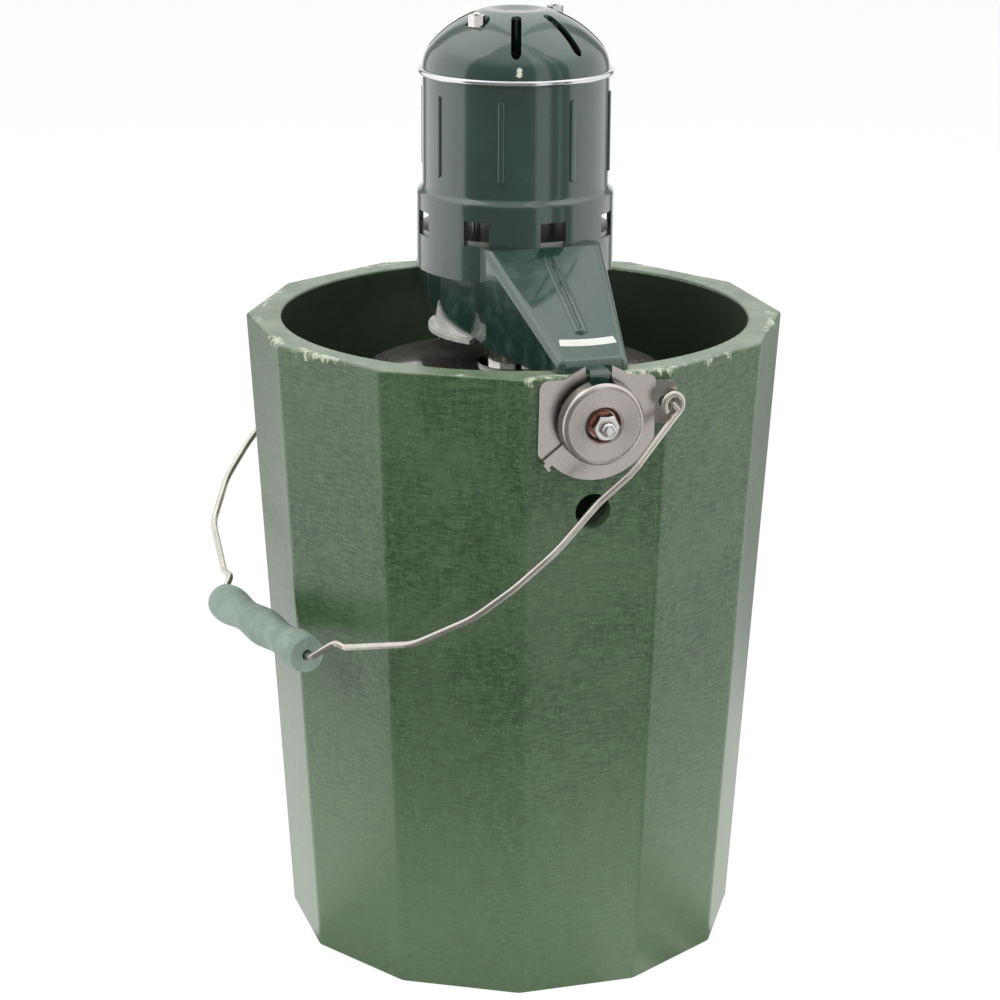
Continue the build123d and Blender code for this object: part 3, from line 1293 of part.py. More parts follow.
with BuildPart() as lid_hub:
    hub_bottom = lid_level - lid_wall
    with BuildSketch(Plane.XY.offset(rim(hub_bottom))):
        Circle(hub_radius)
    extrude(amount=-hub_top_drop - hub_bottom)
    with BuildSketch(Plane.XY.offset(rim(lid_level))):
        Circle(hub_flange_radius)
    extrude(amount=hub_flange)
    with BuildSketch(Plane.XY.offset(rim(hub_bottom))):
        Circle(hub_bore)
    extrude(amount=-hub_top_drop - hub_bottom, mode=Mode.SUBTRACT)
    # Notches that take the drive's dogs.
    with BuildSketch(Plane.XY.offset(rim(-hub_top_drop))):
        Rectangle(2 * hub_radius + loose_gap, 2 * (dog_half_width + loose_gap))
    extrude(amount=sleeve_bottom - dog_length - loose_gap + hub_top_drop, mode=Mode.SUBTRACT)
finish(lid_hub.part, "lid_hub")

# ================================================================ dasher
dasher_top = can_top - dasher_top_gap
square_bottom = post_bottom - rest_gap
with BuildPart() as dasher_stem:
    with BuildSketch(Plane.XY.offset(dasher_top)):
        Circle(stem_radius)
    extrude(amount=rim(square_bottom) - dasher_top)
    with BuildSketch(Plane.XY.offset(rim(square_bottom))):
        Rectangle(2 * square_half, 2 * square_half)
    extrude(amount=square_length)
    chamfer(dasher_stem.edges().group_by(Axis.Z)[-1], square_half / 6)
    # Collar pressed over the frame's top bar.
    with BuildSketch(Plane.XY.offset(dasher_top - dasher_bar)):
        Circle(stem_radius)
        Rectangle(2 * stem_radius, dasher_plate, mode=Mode.SUBTRACT)
    extrude(amount=dasher_bar)
finish(dasher_stem.part, "dasher_stem")

with BuildPart() as dasher_frame:
    # Stamped frame: two legs, a top bar, a bottom bar and a middle bar.
    with BuildSketch(Plane.XZ.offset(-dasher_plate / 2)):
        with Locations((0, (dasher_bottom + dasher_top) / 2)):
            RectangleRounded(2 * dasher_half_width, dasher_top - dasher_bottom, can_corner)
        opening = (dasher_top - dasher_bottom - 3 * dasher_bar) / 2
        for middle in (dasher_bottom + dasher_bar + opening / 2, dasher_top - dasher_bar - opening / 2):
            with Locations((0, middle)):
                RectangleRounded(2 * (dasher_half_width - dasher_bar), opening, can_corner, mode=Mode.SUBTRACT)
    extrude(amount=dasher_plate)
    # Boss that turns on the can's centre pin.
    with BuildSketch(Plane.XY.offset(floor_level + rest_gap)):
        Circle(dasher_boss_radius)
    extrude(amount=dasher_bottom + dasher_bar - floor_level - rest_gap)
    with BuildSketch(Plane.XY.offset(floor_level + rest_gap)):
        Circle(centre_pin_radius + running_fit)
    extrude(amount=centre_pin_height, mode=Mode.SUBTRACT)
finish(dasher_frame.part, "dasher_frame")

with BuildPart() as scraper_blades:
    # A bevelled wooden blade on one face of each leg.
    blade_length = dasher_top - dasher_bottom - 2 * can_corner
    for side in (1, -1):
        with BuildSketch(Plane.XY.offset(dasher_bottom + can_corner)):
            with BuildLine():
                Polyline(
                    (side * (scraper_reach - scraper_width), side * dasher_plate / 2),
                    (side * scraper_reach, side * dasher_plate / 2),
                    (side * (scraper_reach - scraper_width / 3), side * (dasher_plate / 2 + scraper_thickness)),
                    (side * (scraper_reach - scraper_width), side * (dasher_plate / 2 + scraper_thickness)),
                    close=True,
                )
            make_face()
        extrude(amount=blade_length)
finish(scraper_blades.part, "scraper_blades")
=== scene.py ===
import bpy
import json
from math import cos, pi, sin
from mathutils import Matrix, Vector


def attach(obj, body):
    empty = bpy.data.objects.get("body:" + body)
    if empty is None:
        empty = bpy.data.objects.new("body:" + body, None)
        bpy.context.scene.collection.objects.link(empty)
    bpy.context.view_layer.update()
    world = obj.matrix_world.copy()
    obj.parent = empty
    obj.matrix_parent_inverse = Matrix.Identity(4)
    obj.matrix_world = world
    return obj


# Electric ice cream freezer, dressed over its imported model. Metres, Z up, front latch towards -Y.
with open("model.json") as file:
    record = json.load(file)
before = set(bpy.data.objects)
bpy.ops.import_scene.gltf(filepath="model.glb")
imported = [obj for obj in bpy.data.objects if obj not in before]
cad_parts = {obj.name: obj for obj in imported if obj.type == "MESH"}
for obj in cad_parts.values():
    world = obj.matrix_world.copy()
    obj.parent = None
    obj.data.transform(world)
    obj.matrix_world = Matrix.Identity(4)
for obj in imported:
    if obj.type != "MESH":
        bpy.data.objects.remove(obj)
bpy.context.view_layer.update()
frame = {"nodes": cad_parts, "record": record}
nodes = frame["nodes"]
bpy.ops.object.select_all(action="DESELECT")
bpy.context.scene.view_settings.view_transform = "Standard"
print("frame loaded:", len(nodes), "nodes")

rimHeight = 0.362

cameraSetup = {
    "place": (-0.4748, -1.5254, 0.7425),
    "looks": (0.27966, 0.91377, -0.29463),
    "roll": 0.0054,
    "lens": 103.7,
    "sensor": 36,
}


def addCamera(setup):
    ahead = Vector(setup["looks"]).normalized()
    side = ahead.cross(Vector((0, 0, 1))).normalized()
    top = side.cross(ahead)
    turnedSide = side * cos(setup["roll"]) + top * sin(setup["roll"])
    turnedTop = top * cos(setup["roll"]) - side * sin(setup["roll"])
    bpy.ops.object.camera_add()
    camera = bpy.context.object
    camera.name = "photoCamera"
    camera.data.lens = setup["lens"]
    camera.data.sensor_width = setup["sensor"]
    turned = Matrix((turnedSide, turnedTop, -ahead)).transposed().to_4x4()
    camera.matrix_world = Matrix.Translation(setup["place"]) @ turned
    bpy.context.scene.camera = camera


addCamera(cameraSetup)
print("camera placed")


class Wire:
    # an output of a node, which can be used in sums and products
    def __init__(self, look, socket):
        self.look = look
        self.socket = socket

    def maths(self, operation, *terms):
        return self.look.node("Math", {"operation": operation}, dict(enumerate(terms)))

    def __add__(self, other):
        return self.maths("ADD", self, other)

    def __radd__(self, other):
        return self.maths("ADD", other, self)

    def __sub__(self, other):
        return self.maths("SUBTRACT", self, other)

    def __rsub__(self, other):
        return self.maths("SUBTRACT", other, self)

    def __mul__(self, other):
        return self.maths("MULTIPLY", self, other)

    def __rmul__(self, other):
        return self.maths("MULTIPLY", other, self)

    def __pow__(self, other):
        return self.maths("POWER", self, other)


class Graph:
    # a tree of shader nodes, built up node by node
    def __init__(self, tree):
        self.tree = tree

    def node(self, kind, settings, sockets, out=0):
        made = self.tree.nodes.new("ShaderNode" + kind)
        for key, value in settings.items():
            setattr(made, key, value)
        for key, value in sockets.items():
            self.feed(made.inputs[key], value)
        return Wire(self, made.outputs[out])

    def feed(self, socket, value):
        if isinstance(value, Wire):
            self.tree.links.new(value.socket, socket)
        else:
            socket.default_value = value

    def between(self, value, low, high, first=0.0, last=1.0):
        # a smooth step from first to last as the value goes from low to high
        ends = {0: value, 1: low, 2: high, 3: first, 4: last}
        return self.node("MapRange", {"interpolation_type": "SMOOTHSTEP"}, ends)

    def rays(self):
        # 1 for glossy rays, and 1 for rays from the camera or through the smoky lid
        glossy = self.node("LightPath", {}, {}, out="Is Glossy Ray")
        outputs = glossy.socket.node.outputs
        straight = {0: Wire(self, outputs["Is Camera Ray"]), 1: Wire(self, outputs["Is Transmission Ray"])}
        return glossy, self.node("Math", {"operation": "MAXIMUM"}, straight)


class Look(Graph):
    # a material on the Principled shader
    def __init__(self, name):
        self.material = bpy.data.materials.new(name)
        self.material.use_nodes = True
        super().__init__(self.material.node_tree)
        self.shader = self.tree.nodes["Principled BSDF"]
        self.coords = self.node("TexCoord", {}, {}, out="Object")

    def shade(self, sockets):
        for name, value in sockets.items():
            self.feed(self.shader.inputs[name], (*value, 1.0) if isinstance(value, tuple) else value)

    def stretched(self, scale, of=None):
        return self.node("Mapping", {}, {"Vector": of or self.coords, "Scale": scale})

    def noise(self, size, detail=3.0, rough=0.55, of=None):
        # even noise about 0.5 with features of the given size
        sockets = {"Vector": of or self.coords, "Scale": 1 / size, "Detail": detail, "Roughness": rough}
        return self.node("TexNoise", {}, sockets)

    def mix(self, share, first, second):
        first = (*first, 1.0) if isinstance(first, tuple) else first
        second = (*second, 1.0) if isinstance(second, tuple) else second
        settings = {"data_type": "RGBA", "blend_type": "MIX"}
        return self.node("Mix", settings, {0: share, 6: first, 7: second}, out=2)

    def bump(self, height, depth, strength=1.0, over=None):
        sockets = {"Height": height, "Distance": depth, "Strength": strength}
        if over:
            sockets["Normal"] = over
        return self.node("Bump", {}, sockets)

    def axes(self):
        split = self.tree.nodes.new("ShaderNodeSeparateXYZ")
        self.feed(split.inputs[0], self.coords)
        return [Wire(self, socket) for socket in split.outputs]

    def aroundAxis(self, radius):
        # coordinates wrapped round the Z axis: along the wall, out from the axis, up
        x, y, z = self.axes()
        angle = self.node("Math", {"operation": "ARCTAN2"}, {0: y, 1: x})
        out = (x * x + y * y) ** 0.5
        return self.node("CombineXYZ", {}, {0: angle * radius, 1: out, 2: z})

    def near(self, point, radius, ragged):
        # 1 at a point and 0 beyond the radius, with a ragged edge
        places = {0: self.coords, 1: point}
        away = self.node("VectorMath", {"operation": "DISTANCE"}, places, out="Value")
        away = away + (self.noise(radius * 0.5, 4.0, 0.7) - 0.5) * (2 * radius * ragged)
        return self.between(away, radius * 0.8, radius, 1.0, 0.0)


def linear(share):
    # an sRGB share as linear light
    return share / 12.92 if share <= 0.04 else ((share + 0.055) / 1.055) ** 2.4


def srgb(red, green, blue):
    # 0-255 values as a linear colour
    return tuple(linear(value / 255) for value in (red, green, blue))


def scaled(colour, share):
    return tuple(min(1.0, value * share) for value in colour)


tubFinish = {
    "dark": srgb(42, 68, 40),
    "light": srgb(78, 108, 72),
    "cloud": srgb(84, 108, 78),
    "streak": srgb(44, 68, 42),
    "fleck": srgb(142, 164, 128),
    # painted sheen: this pale tone is painted on the tub's lower part in place of light from the pale floor
    "dustAndSheen": srgb(126, 150, 118),
    "chip": srgb(206, 212, 190),
    "scuff": srgb(160, 172, 150),
    "inside": srgb(62, 72, 58),
    "wallRadius": 0.14,    # patterns keep their size at this distance from the axis
    # sizes of the features
    "weftSize": 0.0011,
    "warpSize": 0.0013,
    "grainSize": 0.0007,
    "fleckSize": 0.0011,
    "cloudSize": 0.060,
    "streakSize": 0.026,
    "chipSize": 0.004,
    "patchSize": 0.028,
    "scuffSize": 0.0022,
    # heights and distances from the axis between which a mask rises or falls
    # heights over which the painted pale sheen fades out going up
    "lowSheenHeights": (0.02, 0.20),
    "outerFace": (0.1425, 0.1440),
    "innerFace": (0.1185, 0.1200),
    "innerLean": 0.0557,
    "rimTop": (0.0002, 0.0012),
    "belowRim": (0.0002, 0.002),
    "chipsFade": 30.0,     # how fast the chips thin out below the rim
}


def fibreglassLook(setup):
    look = Look("fibreglass")
    x, y, z = look.axes()
    away = (x * x + y * y) ** 0.5
    below = rimHeight - z
    wall = look.aroundAxis(setup["wallRadius"])
    # moulded glass cloth: level and upright strands with a fine grain
    weft = look.noise(setup["weftSize"], 2.0, 0.5, look.stretched((0.12, 1, 1.0), wall))
    warp = look.noise(setup["warpSize"], 2.0, 0.5, look.stretched((1.0, 1, 0.10), wall))
    grain = look.noise(setup["grainSize"], 2.0, 0.6)
    weave = weft * 0.48 + warp * 0.22 + grain * 0.30
    cloud = look.noise(setup["cloudSize"], 4.0, 0.6)
    streak = look.noise(setup["streakSize"], 4.0, 0.65, look.stretched((1, 1, 0.22), wall))
    fleck = look.noise(setup["fleckSize"], 1.0, 0.5)
    green = look.mix(look.between(weave, 0.38, 0.62), setup["dark"], setup["light"])
    green = look.mix(look.between(cloud, 0.40, 0.66) * 0.5, green, setup["cloud"])
    green = look.mix(look.between(streak, 0.5, 0.75) * 0.2, green, setup["streak"])
    green = look.mix(look.between(fleck, 0.66, 0.74) * 0.45, green, setup["fleck"])
    # painted light: the lower part is painted paler, a painted sheen standing in for the light the pale floor
    # throws on it
    paintedLowSheen = look.between(z + (cloud - 0.5) * 0.10, *setup["lowSheenHeights"], 1.0, 0.0)
    green = look.mix(paintedLowSheen * 0.5, green, setup["dustAndSheen"])
    # wear: pale chips hang from the rim's outer edge, and faint scuffs lie on the walls
    ragged = look.noise(setup["chipSize"], 5.0, 0.75, look.stretched((1, 1, 0.45), wall))
    patch = look.noise(setup["patchSize"], 2.0, 0.5, look.stretched((1, 1, 0.3), wall))
    chips = look.between(ragged - below * setup["chipsFade"], 0.46, 0.52) * look.between(patch, 0.49, 0.58)
    chips = chips * look.between(away, *setup["outerFace"])
    green = look.mix(chips * 0.9, green, setup["chip"])
    scuff = look.noise(setup["scuffSize"], 4.0, 0.8, look.stretched((0.5, 1, 1.0), wall))
    scuff = look.between(scuff, 0.67, 0.70) * look.between(cloud, 0.46, 0.6)
    green = look.mix(scuff * 0.4, green, setup["scuff"])
    inside = look.between(away - z * setup["innerLean"], *setup["innerFace"], 1.0, 0.0)
    inside = inside * look.between(below, *setup["belowRim"])
    green = look.mix(inside * 0.8, green, setup["inside"])
    # the rim's flat top is rubbed pale
    rubbed = look.between(below, *setup["rimTop"], 1.0, 0.0) * look.between(streak, 0.3, 0.7, 0.05, 0.35)
    green = look.mix(rubbed, green, setup["scuff"])
    normal = look.bump(weave, 0.00008, 0.45)
    normal = look.bump(chips, 0.0003, 0.6, normal)
    rough = 0.36 + weave * 0.12 + chips * 0.3
    look.shade({"Base Color": green, "Roughness": rough, "Normal": normal})
    look.shade({"Coat Weight": 0.45, "Coat Roughness": 0.24})
    return look.material


enamelFinish = {
    "deep": srgb(22, 54, 46),
    "pale": srgb(32, 70, 60),
    "dustAndSheen": srgb(128, 146, 140),
    "bare": srgb(222, 226, 206),
    "peelSize": 0.0035,
    "dustSize": 0.0010,
    "toneSize": 0.05,
    "settledSize": 0.012,
    "settledHeights": (0.42, 0.40),
    "chips": [((-0.0133, -0.0489, 0.5070), 0.0017), ((-0.0134, -0.0492, 0.5048), 0.0020)],  # place, radius
}


def enamelLook(setup):
    look = Look("driveEnamel")
    height = look.axes()[2]
    peel = look.noise(setup["peelSize"], 2.0, 0.5)
    dustAndSheen = look.between(look.noise(setup["dustSize"], 1.0, 0.5), 0.70, 0.76)
    tone = look.noise(setup["toneSize"], 3.0, 0.6)
    body = look.mix(look.between(tone, 0.35, 0.7) * 0.6, setup["deep"], setup["pale"])
    body = look.mix(dustAndSheen * 0.16, body, setup["dustAndSheen"])
    # dust settles on the case and the arms more than on the motor
    settled = look.between(look.noise(setup["settledSize"], 5.0, 0.7), 0.45, 0.75)
    settled = settled * look.between(height, *setup["settledHeights"])
    body = look.mix(settled * 0.22, body, setup["dustAndSheen"])
    spots = [look.near(place, radius, 0.8) for place, radius in setup["chips"]]
    for spot in spots:
        body = look.mix(spot, body, setup["bare"])
    normal = look.bump(peel, 0.00006, 0.35)
    normal = look.bump(1 - sum(spots), 0.0002, 0.8, normal)
    look.shade({"Base Color": body, "Roughness": 0.28 + tone * 0.1 + settled * 0.2, "Normal": normal})
    look.shade({"Coat Weight": 1 - settled * 0.5, "Coat Roughness": 0.06, "Coat IOR": 1.8})
    return look.material


def steelLook(name, colour, rough, grain=(1, 1, 1), streak=0.1, tint=0.1, spots=0.0, depth=0.00002,
              grainSize=0.0008):
    # brushed or satin metal; grain stretches the brushing
    look = Look(name)
    lines = look.noise(grainSize, 3.0, 0.6, look.stretched(grain))
    smear = look.noise(0.012, 4.0, 0.6)
    body = look.mix(look.between(smear, 0.35, 0.7), scaled(colour, 1 - 2.2 * tint), colour)
    body = look.mix(look.between(lines, 0.3, 0.7) * 0.35, body, scaled(colour, 1.15))
    roughness = rough + (lines - 0.5) * streak + (smear - 0.5) * (streak * 1.5)
    if spots:
        stain = look.between(look.noise(0.0016, 3.0, 0.7), 0.62, 0.70)
        body = look.mix(stain * spots, body, srgb(96, 88, 78))
        roughness = roughness + stain * (0.25 * spots)
    look.shade({"Base Color": body, "Metallic": 1.0, "Roughness": roughness})
    look.shade({"Normal": look.bump(lines, depth, 0.6)})
    return look.material


def plasticLook(name, colour, rough, size=0.0009, depth=0.00005, shift=0.18, coat=0.0):
    # moulded plastic, rubber or paper with a fine grain and faint handling marks
    look = Look(name)
    grain = look.noise(size, 3.0, 0.6)
    smear = look.noise(0.014, 4.0, 0.6)
    body = look.mix(look.between(smear, 0.35, 0.7), scaled(colour, 1 - shift), scaled(colour, 1 + shift))
    pale = tuple(min(1.0, value * 1.35 + 0.01) for value in colour)
    body = look.mix(look.between(grain, 0.35, 0.7) * 0.25, body, pale)
    look.shade({"Base Color": body, "Roughness": rough + (grain - 0.5) * 0.15})
    look.shade({"Normal": look.bump(grain, depth, 0.6), "Coat Weight": coat, "Coat Roughness": 0.15})
    return look.material


def stackLook(name, colour, pitch):
    # thin sheets or turns of wire stacked along Z
    look = Look(name)
    height = look.axes()[2]
    band = look.node("Math", {"operation": "SINE"}, {0: height * (2 * pi / pitch)}) * 0.5 + 0.5
    grime = look.noise(0.004, 3.0, 0.6)
    body = look.mix(band, scaled(colour, 0.45), colour)
    body = look.mix(look.between(grime, 0.45, 0.7) * 0.5, body, srgb(30, 26, 22))
    look.shade({"Base Color": body, "Metallic": 0.8, "Roughness": 0.38 + grime * 0.2})
    look.shade({"Normal": look.bump(band, pitch * 0.3, 0.7)})
    return look.material


def lidLook():
    look = Look("smokyLid")
    haze = look.noise(0.02, 4.0, 0.6)
    scratch = look.between(look.noise(0.0016, 4.0, 0.7, look.stretched((1, 0.15, 1))), 0.62, 0.68)
    tone = look.mix(look.between(haze, 0.35, 0.7), srgb(160, 154, 150), srgb(186, 180, 176))
    look.shade({"Base Color": tone, "Roughness": 0.05 + haze * 0.06 + scratch * 0.2})
    look.shade({"Transmission Weight": 0.82, "IOR": 1.49, "Normal": look.bump(haze, 0.0001, 0.3)})
    look.shade({"Coat Weight": 0.6, "Coat Roughness": 0.03})
    return look.material


def woodLook():
    look = Look("scraperWood")
    rings = look.noise(0.004, 4.0, 0.6, look.stretched((1, 1, 0.06)))
    pores = look.between(look.noise(0.0012, 2.0, 0.6, look.stretched((1, 1, 0.04))), 0.55, 0.68)
    body = look.mix(look.between(rings, 0.3, 0.7), srgb(168, 128, 84), srgb(206, 170, 122))
    body = look.mix(pores * 0.6, body, srgb(122, 86, 52))
    look.shade({"Base Color": body, "Roughness": 0.5 + rings * 0.15})
    look.shade({"Normal": look.bump(rings, 0.0001, 0.5)})
    return look.material


finishes = {
    "fibreglass": fibreglassLook(tubFinish),
    "drive_enamel": enamelLook(enamelFinish),
    "stainless": steelLook("brushedStainless", srgb(216, 209, 203), 0.30, (1, 1, 0.08), 0.16, 0.08, 0.25),
    "zinc_steel": steelLook("brightZinc", srgb(236, 234, 230), 0.20, (1, 1, 1), 0.10, 0.06, 0.10),
    "bail_steel": steelLook("bailWireSteel", srgb(226, 220, 210), 0.30, (1, 1, 1), 0.14, 0.10, 0.20),
    "machined_steel": steelLook("turnedSteel", srgb(176, 176, 174), 0.26, (0.3, 0.3, 1), 0.10, 0.06, 0.10,
                                grainSize=0.0005),
    "trim_chrome": steelLook("trimChrome", srgb(226, 228, 230), 0.10, (1, 1, 1), 0.05, 0.03, 0.0),
    "hub_chrome": steelLook("hubChrome", srgb(230, 228, 225), 0.09, (1, 1, 1), 0.05, 0.05, 0.06),
    "can_steel": steelLook("canSteel", srgb(186, 186, 184), 0.28, (1, 1, 0.1), 0.14, 0.08, 0.12),
    "dasher_metal": steelLook("castAluminium", srgb(190, 190, 186), 0.42, (1, 1, 1), 0.12, 0.08, 0.10,
                              depth=0.00008, grainSize=0.0014),
    "bare_casting": steelLook("bareCasting", srgb(176, 176, 172), 0.45, (1, 1, 1), 0.14, 0.10, 0.15,
                              depth=0.0001, grainSize=0.0014),
    "bearing_bronze": steelLook("sinteredBronze", srgb(176, 136, 88), 0.42, (1, 1, 1), 0.12, 0.10, 0.20),
    "laminations": stackLook("laminations", srgb(130, 126, 122), 0.0007),
    "copper_winding": stackLook("copperWinding", srgb(190, 112, 64), 0.0009),
    "pivot_plastic": plasticLook("pivotPlastic", srgb(224, 222, 214), 0.5),
    "fibre": plasticLook("redFibre", srgb(164, 104, 92), 0.7, 0.0006),
    "grip_plastic": plasticLook("gripPlastic", srgb(142, 160, 148), 0.56, 0.0011, 0.00012),
    "fan_plastic": plasticLook("fanPlastic", srgb(196, 194, 184), 0.5),
    "grommet_rubber": plasticLook("grommetRubber", srgb(38, 38, 38), 0.6),
    "collar_plastic": plasticLook("collarPlastic", srgb(214, 212, 206), 0.45, coat=0.2),
    "lid_plastic": lidLook(),
    "scraper_wood": woodLook(),
}
for part in frame["record"]["subparts"]:
    for held in nodes[part["node"]].material_slots:
        held.material = finishes[part["material_slot"]]
print("finishes given:", len(finishes))


armStrip = {
    "middle": (0.001, -0.1275, 0.37462),
    "size": (0.031, 0.0054, 0.0003),
    "arch": 0.28,          # the angle that its length turns through
    "slope": 0.4603,       # the arm's fall, in radians
    "corner": 0.0008,
    "cornerSegments": 4,
    "cuts": 6,             # so that it bends smoothly
}


def addArmStrip(setup):
    # a blank paper strip stuck across the forward arm, with rounded corners
    bpy.ops.object.select_all(action="DESELECT")
    bpy.ops.mesh.primitive_cube_add(size=1)
    strip = bpy.context.object
    strip.name = "armStrip"
    strip.scale = setup["size"]
    bpy.ops.object.transform_apply(location=False, rotation=False, scale=True)
    bpy.ops.object.mode_set(mode="EDIT")
    bpy.ops.mesh.select_all(action="DESELECT")
    bpy.ops.mesh.select_mode(type="EDGE")
    bpy.ops.object.mode_set(mode="OBJECT")
    for edge in strip.data.edges:
        first, second = (strip.data.vertices[v].co for v in edge.vertices)
        edge.select = abs(first.z - second.z) > setup["size"][2] / 2
    bpy.ops.object.mode_set(mode="EDIT")
    bpy.ops.mesh.bevel(offset=setup["corner"], segments=setup["cornerSegments"])
    bpy.ops.mesh.select_all(action="SELECT")
    bpy.ops.mesh.subdivide(number_cuts=setup["cuts"])
    bpy.ops.object.mode_set(mode="OBJECT")
    arch = strip.modifiers.new("arch", "SIMPLE_DEFORM")
    arch.deform_method = "BEND"
    arch.deform_axis = "Z"
    arch.angle = setup["arch"]
    bpy.ops.object.modifier_apply(modifier="arch")
    strip.rotation_euler = (setup["slope"], 0, 0)
    strip.location = setup["middle"]
    bpy.ops.object.transform_apply(location=True, rotation=True, scale=True)
    paper = plasticLook("stripPaper", srgb(218, 220, 214), 0.6, size=0.0006, depth=0.00002, shift=0.06)
    strip.data.materials.append(paper)
    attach(strip, "drive")


boltThread = {
    "root": 0.0036,        # radius of the ridge's foot
    "height": 0.0006,
    "pitch": 0.0011,
    "turns": 3,
    "steps": 24,
    "tilt": 0.0577,        # the facet leans, so the bolts point slightly down
    "centre": (0, -0.14583, 0.33835),
    "from": 0.0184,        # distance out from the facet where the thread begins
}


def addBoltThreads(setup):
    # a helical ridge round the free end of each latch bolt
    bpy.ops.object.select_all(action="DESELECT")
    profile = {"vertices": 3, "radius": setup["height"], "fill_type": "NOTHING"}
    bpy.ops.mesh.primitive_circle_add(**profile, rotation=(pi / 2, 0, 0))
    ridge = bpy.context.object
    ridge.name = "latchBoltThreads"
    ridge.location = (setup["root"], 0, 0)
    bpy.ops.object.transform_apply(location=True, rotation=True, scale=True)
    screw = ridge.modifiers.new("thread", "SCREW")
    screw.screw_offset = setup["pitch"]
    screw.iterations = setup["turns"]
    screw.steps = setup["steps"]
    screw.render_steps = setup["steps"]
    screw.use_merge_vertices = True
    bpy.ops.object.modifier_apply(modifier="thread")
    bpy.ops.object.mode_set(mode="EDIT")
    bpy.ops.mesh.select_all(action="SELECT")
    bpy.ops.mesh.remove_doubles(threshold=0.000001)
    bpy.ops.mesh.fill_holes(sides=3)
    bpy.ops.mesh.select_all(action="SELECT")
    bpy.ops.mesh.normals_make_consistent(inside=False)
    bpy.ops.object.mode_set(mode="OBJECT")
    ridge.rotation_euler = (pi / 2 + setup["tilt"], 0, 0)
    out = Vector((0, -cos(setup["tilt"]), -sin(setup["tilt"])))
    ridge.location = Vector(setup["centre"]) + out * setup["from"]
    bpy.ops.object.transform_apply(location=True, rotation=True, scale=True)
    bpy.ops.object.duplicate()
    twin = bpy.context.object
    twin.rotation_euler = (0, 0, pi)
    bpy.ops.object.transform_apply(location=True, rotation=True, scale=True)
    ridge.select_set(True)
    bpy.context.view_layer.objects.active = ridge
    bpy.ops.object.join()
    ridge.data.materials.append(finishes["zinc_steel"])
    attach(ridge, "tub")


addArmStrip(armStrip)
addBoltThreads(boltThread)
print("strip and threads added")


def mirroredRoom(graph, place, setup):
    # what glossy rays see: a dim room with tall pale panels, set by the angle about Z from the camera
    toCamera = -Vector(cameraSetup["looks"])
    toCamera.z = 0
    toCamera.normalize()
    toRight = Vector((0, 0, 1)).cross(toCamera)
    dot = {"operation": "DOT_PRODUCT"}
    facing = graph.node("VectorMath", dot, {0: place, 1: tuple(toCamera)}, out="Value")
    across = graph.node("VectorMath", dot, {0: place, 1: tuple(toRight)}, out="Value")
    turn = graph.node("Math", {"operation": "ARCTAN2"}, {0: across, 1: facing})
    glow = setup["roomGlow"]
    for first, last, soft, level in setup["panels"]:
        rise = graph.between(turn, first - soft, first + soft)
        fall = graph.between(turn, last - soft, last + soft, 1.0, 0.0)
        glow = glow + rise * fall * (level - setup["roomGlow"])
    return glow


def addFloor(setup):
    # pale and plain: its shadow stays, and rays from the camera see it nearly white
    bpy.ops.mesh.primitive_plane_add(size=setup["floorSize"], location=(0, 0, 0))
    floor = bpy.context.object
    floor.name = "studioFloor"
    look = Look("paleFloor")
    look.shade({"Base Color": setup["floorColour"], "Roughness": 0.9})
    glossy, straight = look.rays()
    strength = mirroredRoom(look, look.coords, setup) * glossy + straight * setup["glowStrength"]
    glow = look.node("Emission", {}, {"Color": (1, 1, 1, 1), "Strength": strength})
    plain = Wire(look, look.shader.outputs[0])
    both = look.node("MixShader", {}, {0: straight * setup["floorGlow"] + glossy, 1: plain, 2: glow})
    output = next(n for n in look.tree.nodes if n.type == "OUTPUT_MATERIAL")
    look.feed(output.inputs["Surface"], both)
    floor.data.materials.append(look.material)


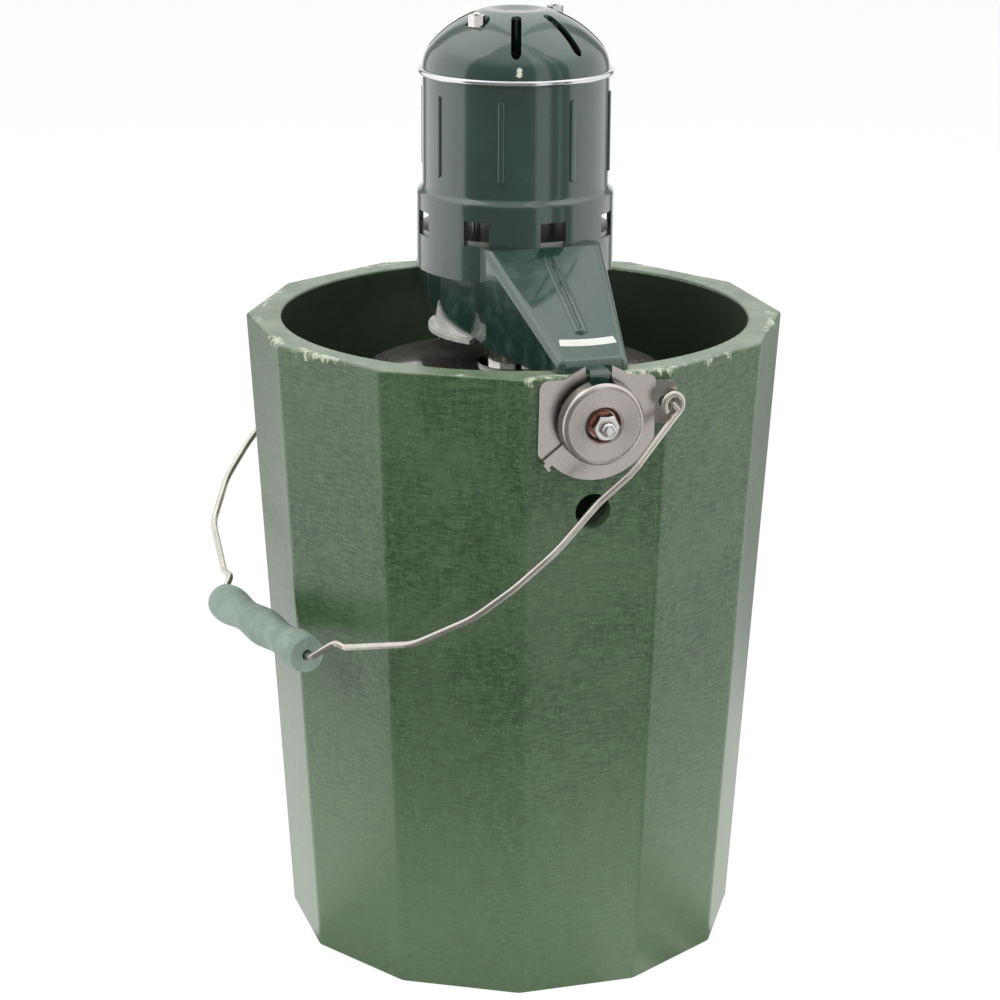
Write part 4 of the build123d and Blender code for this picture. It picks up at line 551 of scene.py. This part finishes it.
def addWorld(setup):
    world = bpy.data.worlds.new("studioWorld")
    bpy.context.scene.world = world
    world.use_nodes = True
    world.node_tree.nodes.clear()
    graph = Graph(world.node_tree)
    direction = graph.node("TexCoord", {}, {}, out="Generated")
    rising = graph.node("VectorMath", {"operation": "DOT_PRODUCT"}, {0: direction, 1: (0, 0, 1)}, out="Value")
    ceiling = graph.between(rising, setup["ceilingFrom"], setup["ceilingFull"]) * setup["ceilingGlow"]
    room = mirroredRoom(graph, direction, setup) + ceiling
    glossy, straight = graph.rays()
    strength = (room * glossy + (1 - glossy) * setup["ambient"]) * (1 - straight) + straight
    background = graph.node("Background", {}, {"Color": (1, 1, 1, 1), "Strength": strength})
    output = graph.tree.nodes.new("ShaderNodeOutputWorld")
    graph.feed(output.inputs["Surface"], background)


def addLamps(setup):
    for name, lamp in setup["lamps"].items():
        bpy.ops.object.light_add(type="AREA", location=lamp["place"])
        light = bpy.context.object
        light.name = name
        light.data.shape = "RECTANGLE"
        light.data.size, light.data.size_y = lamp["size"]
        light.data.energy = lamp["power"]
        light.visible_glossy = False
        aim = Vector(lamp["aim"]) - Vector(lamp["place"])
        light.rotation_euler = aim.to_track_quat("-Z", "Y").to_euler()


studio = {
    "floorSize": 16.0,
    "floorColour": (0.80, 0.80, 0.80),
    "floorGlow": 0.80,
    "glowStrength": 1.12,
    "ambient": 0.42,
    "roomGlow": 0.24,
    # each panel: from and to, in radians about Z from the camera, then its edges' softness and its glow
    "panels": [
        (-3.40, -2.75, 0.06, 0.95),
        (-2.50, -1.12, 0.06, 1.15),
        (0.42, 0.74, 0.05, 0.8),
        (0.92, 1.00, 0.04, 0.6),
        (1.20, 2.50, 0.06, 1.0),
        (2.75, 3.40, 0.06, 0.95),
    ],
    "ceilingFrom": 0.45,
    "ceilingFull": 0.85,
    "ceilingGlow": 0.5,
    "lamps": {
        "keyLamp": {"place": (-2.2, -1.0, 1.9), "aim": (0, 0, 0.25), "size": (1.2, 1.8), "power": 34},
        "fillLamp": {"place": (2.0, -1.4, 1.4), "aim": (0, 0, 0.25), "size": (1.2, 1.8), "power": 26},
        "topLamp": {"place": (0.1, 0.2, 2.4), "aim": (0, 0, 0.2), "size": (1.6, 1.6), "power": 24},
    },
}
addFloor(studio)
addWorld(studio)
addLamps(studio)
print("studio lit")
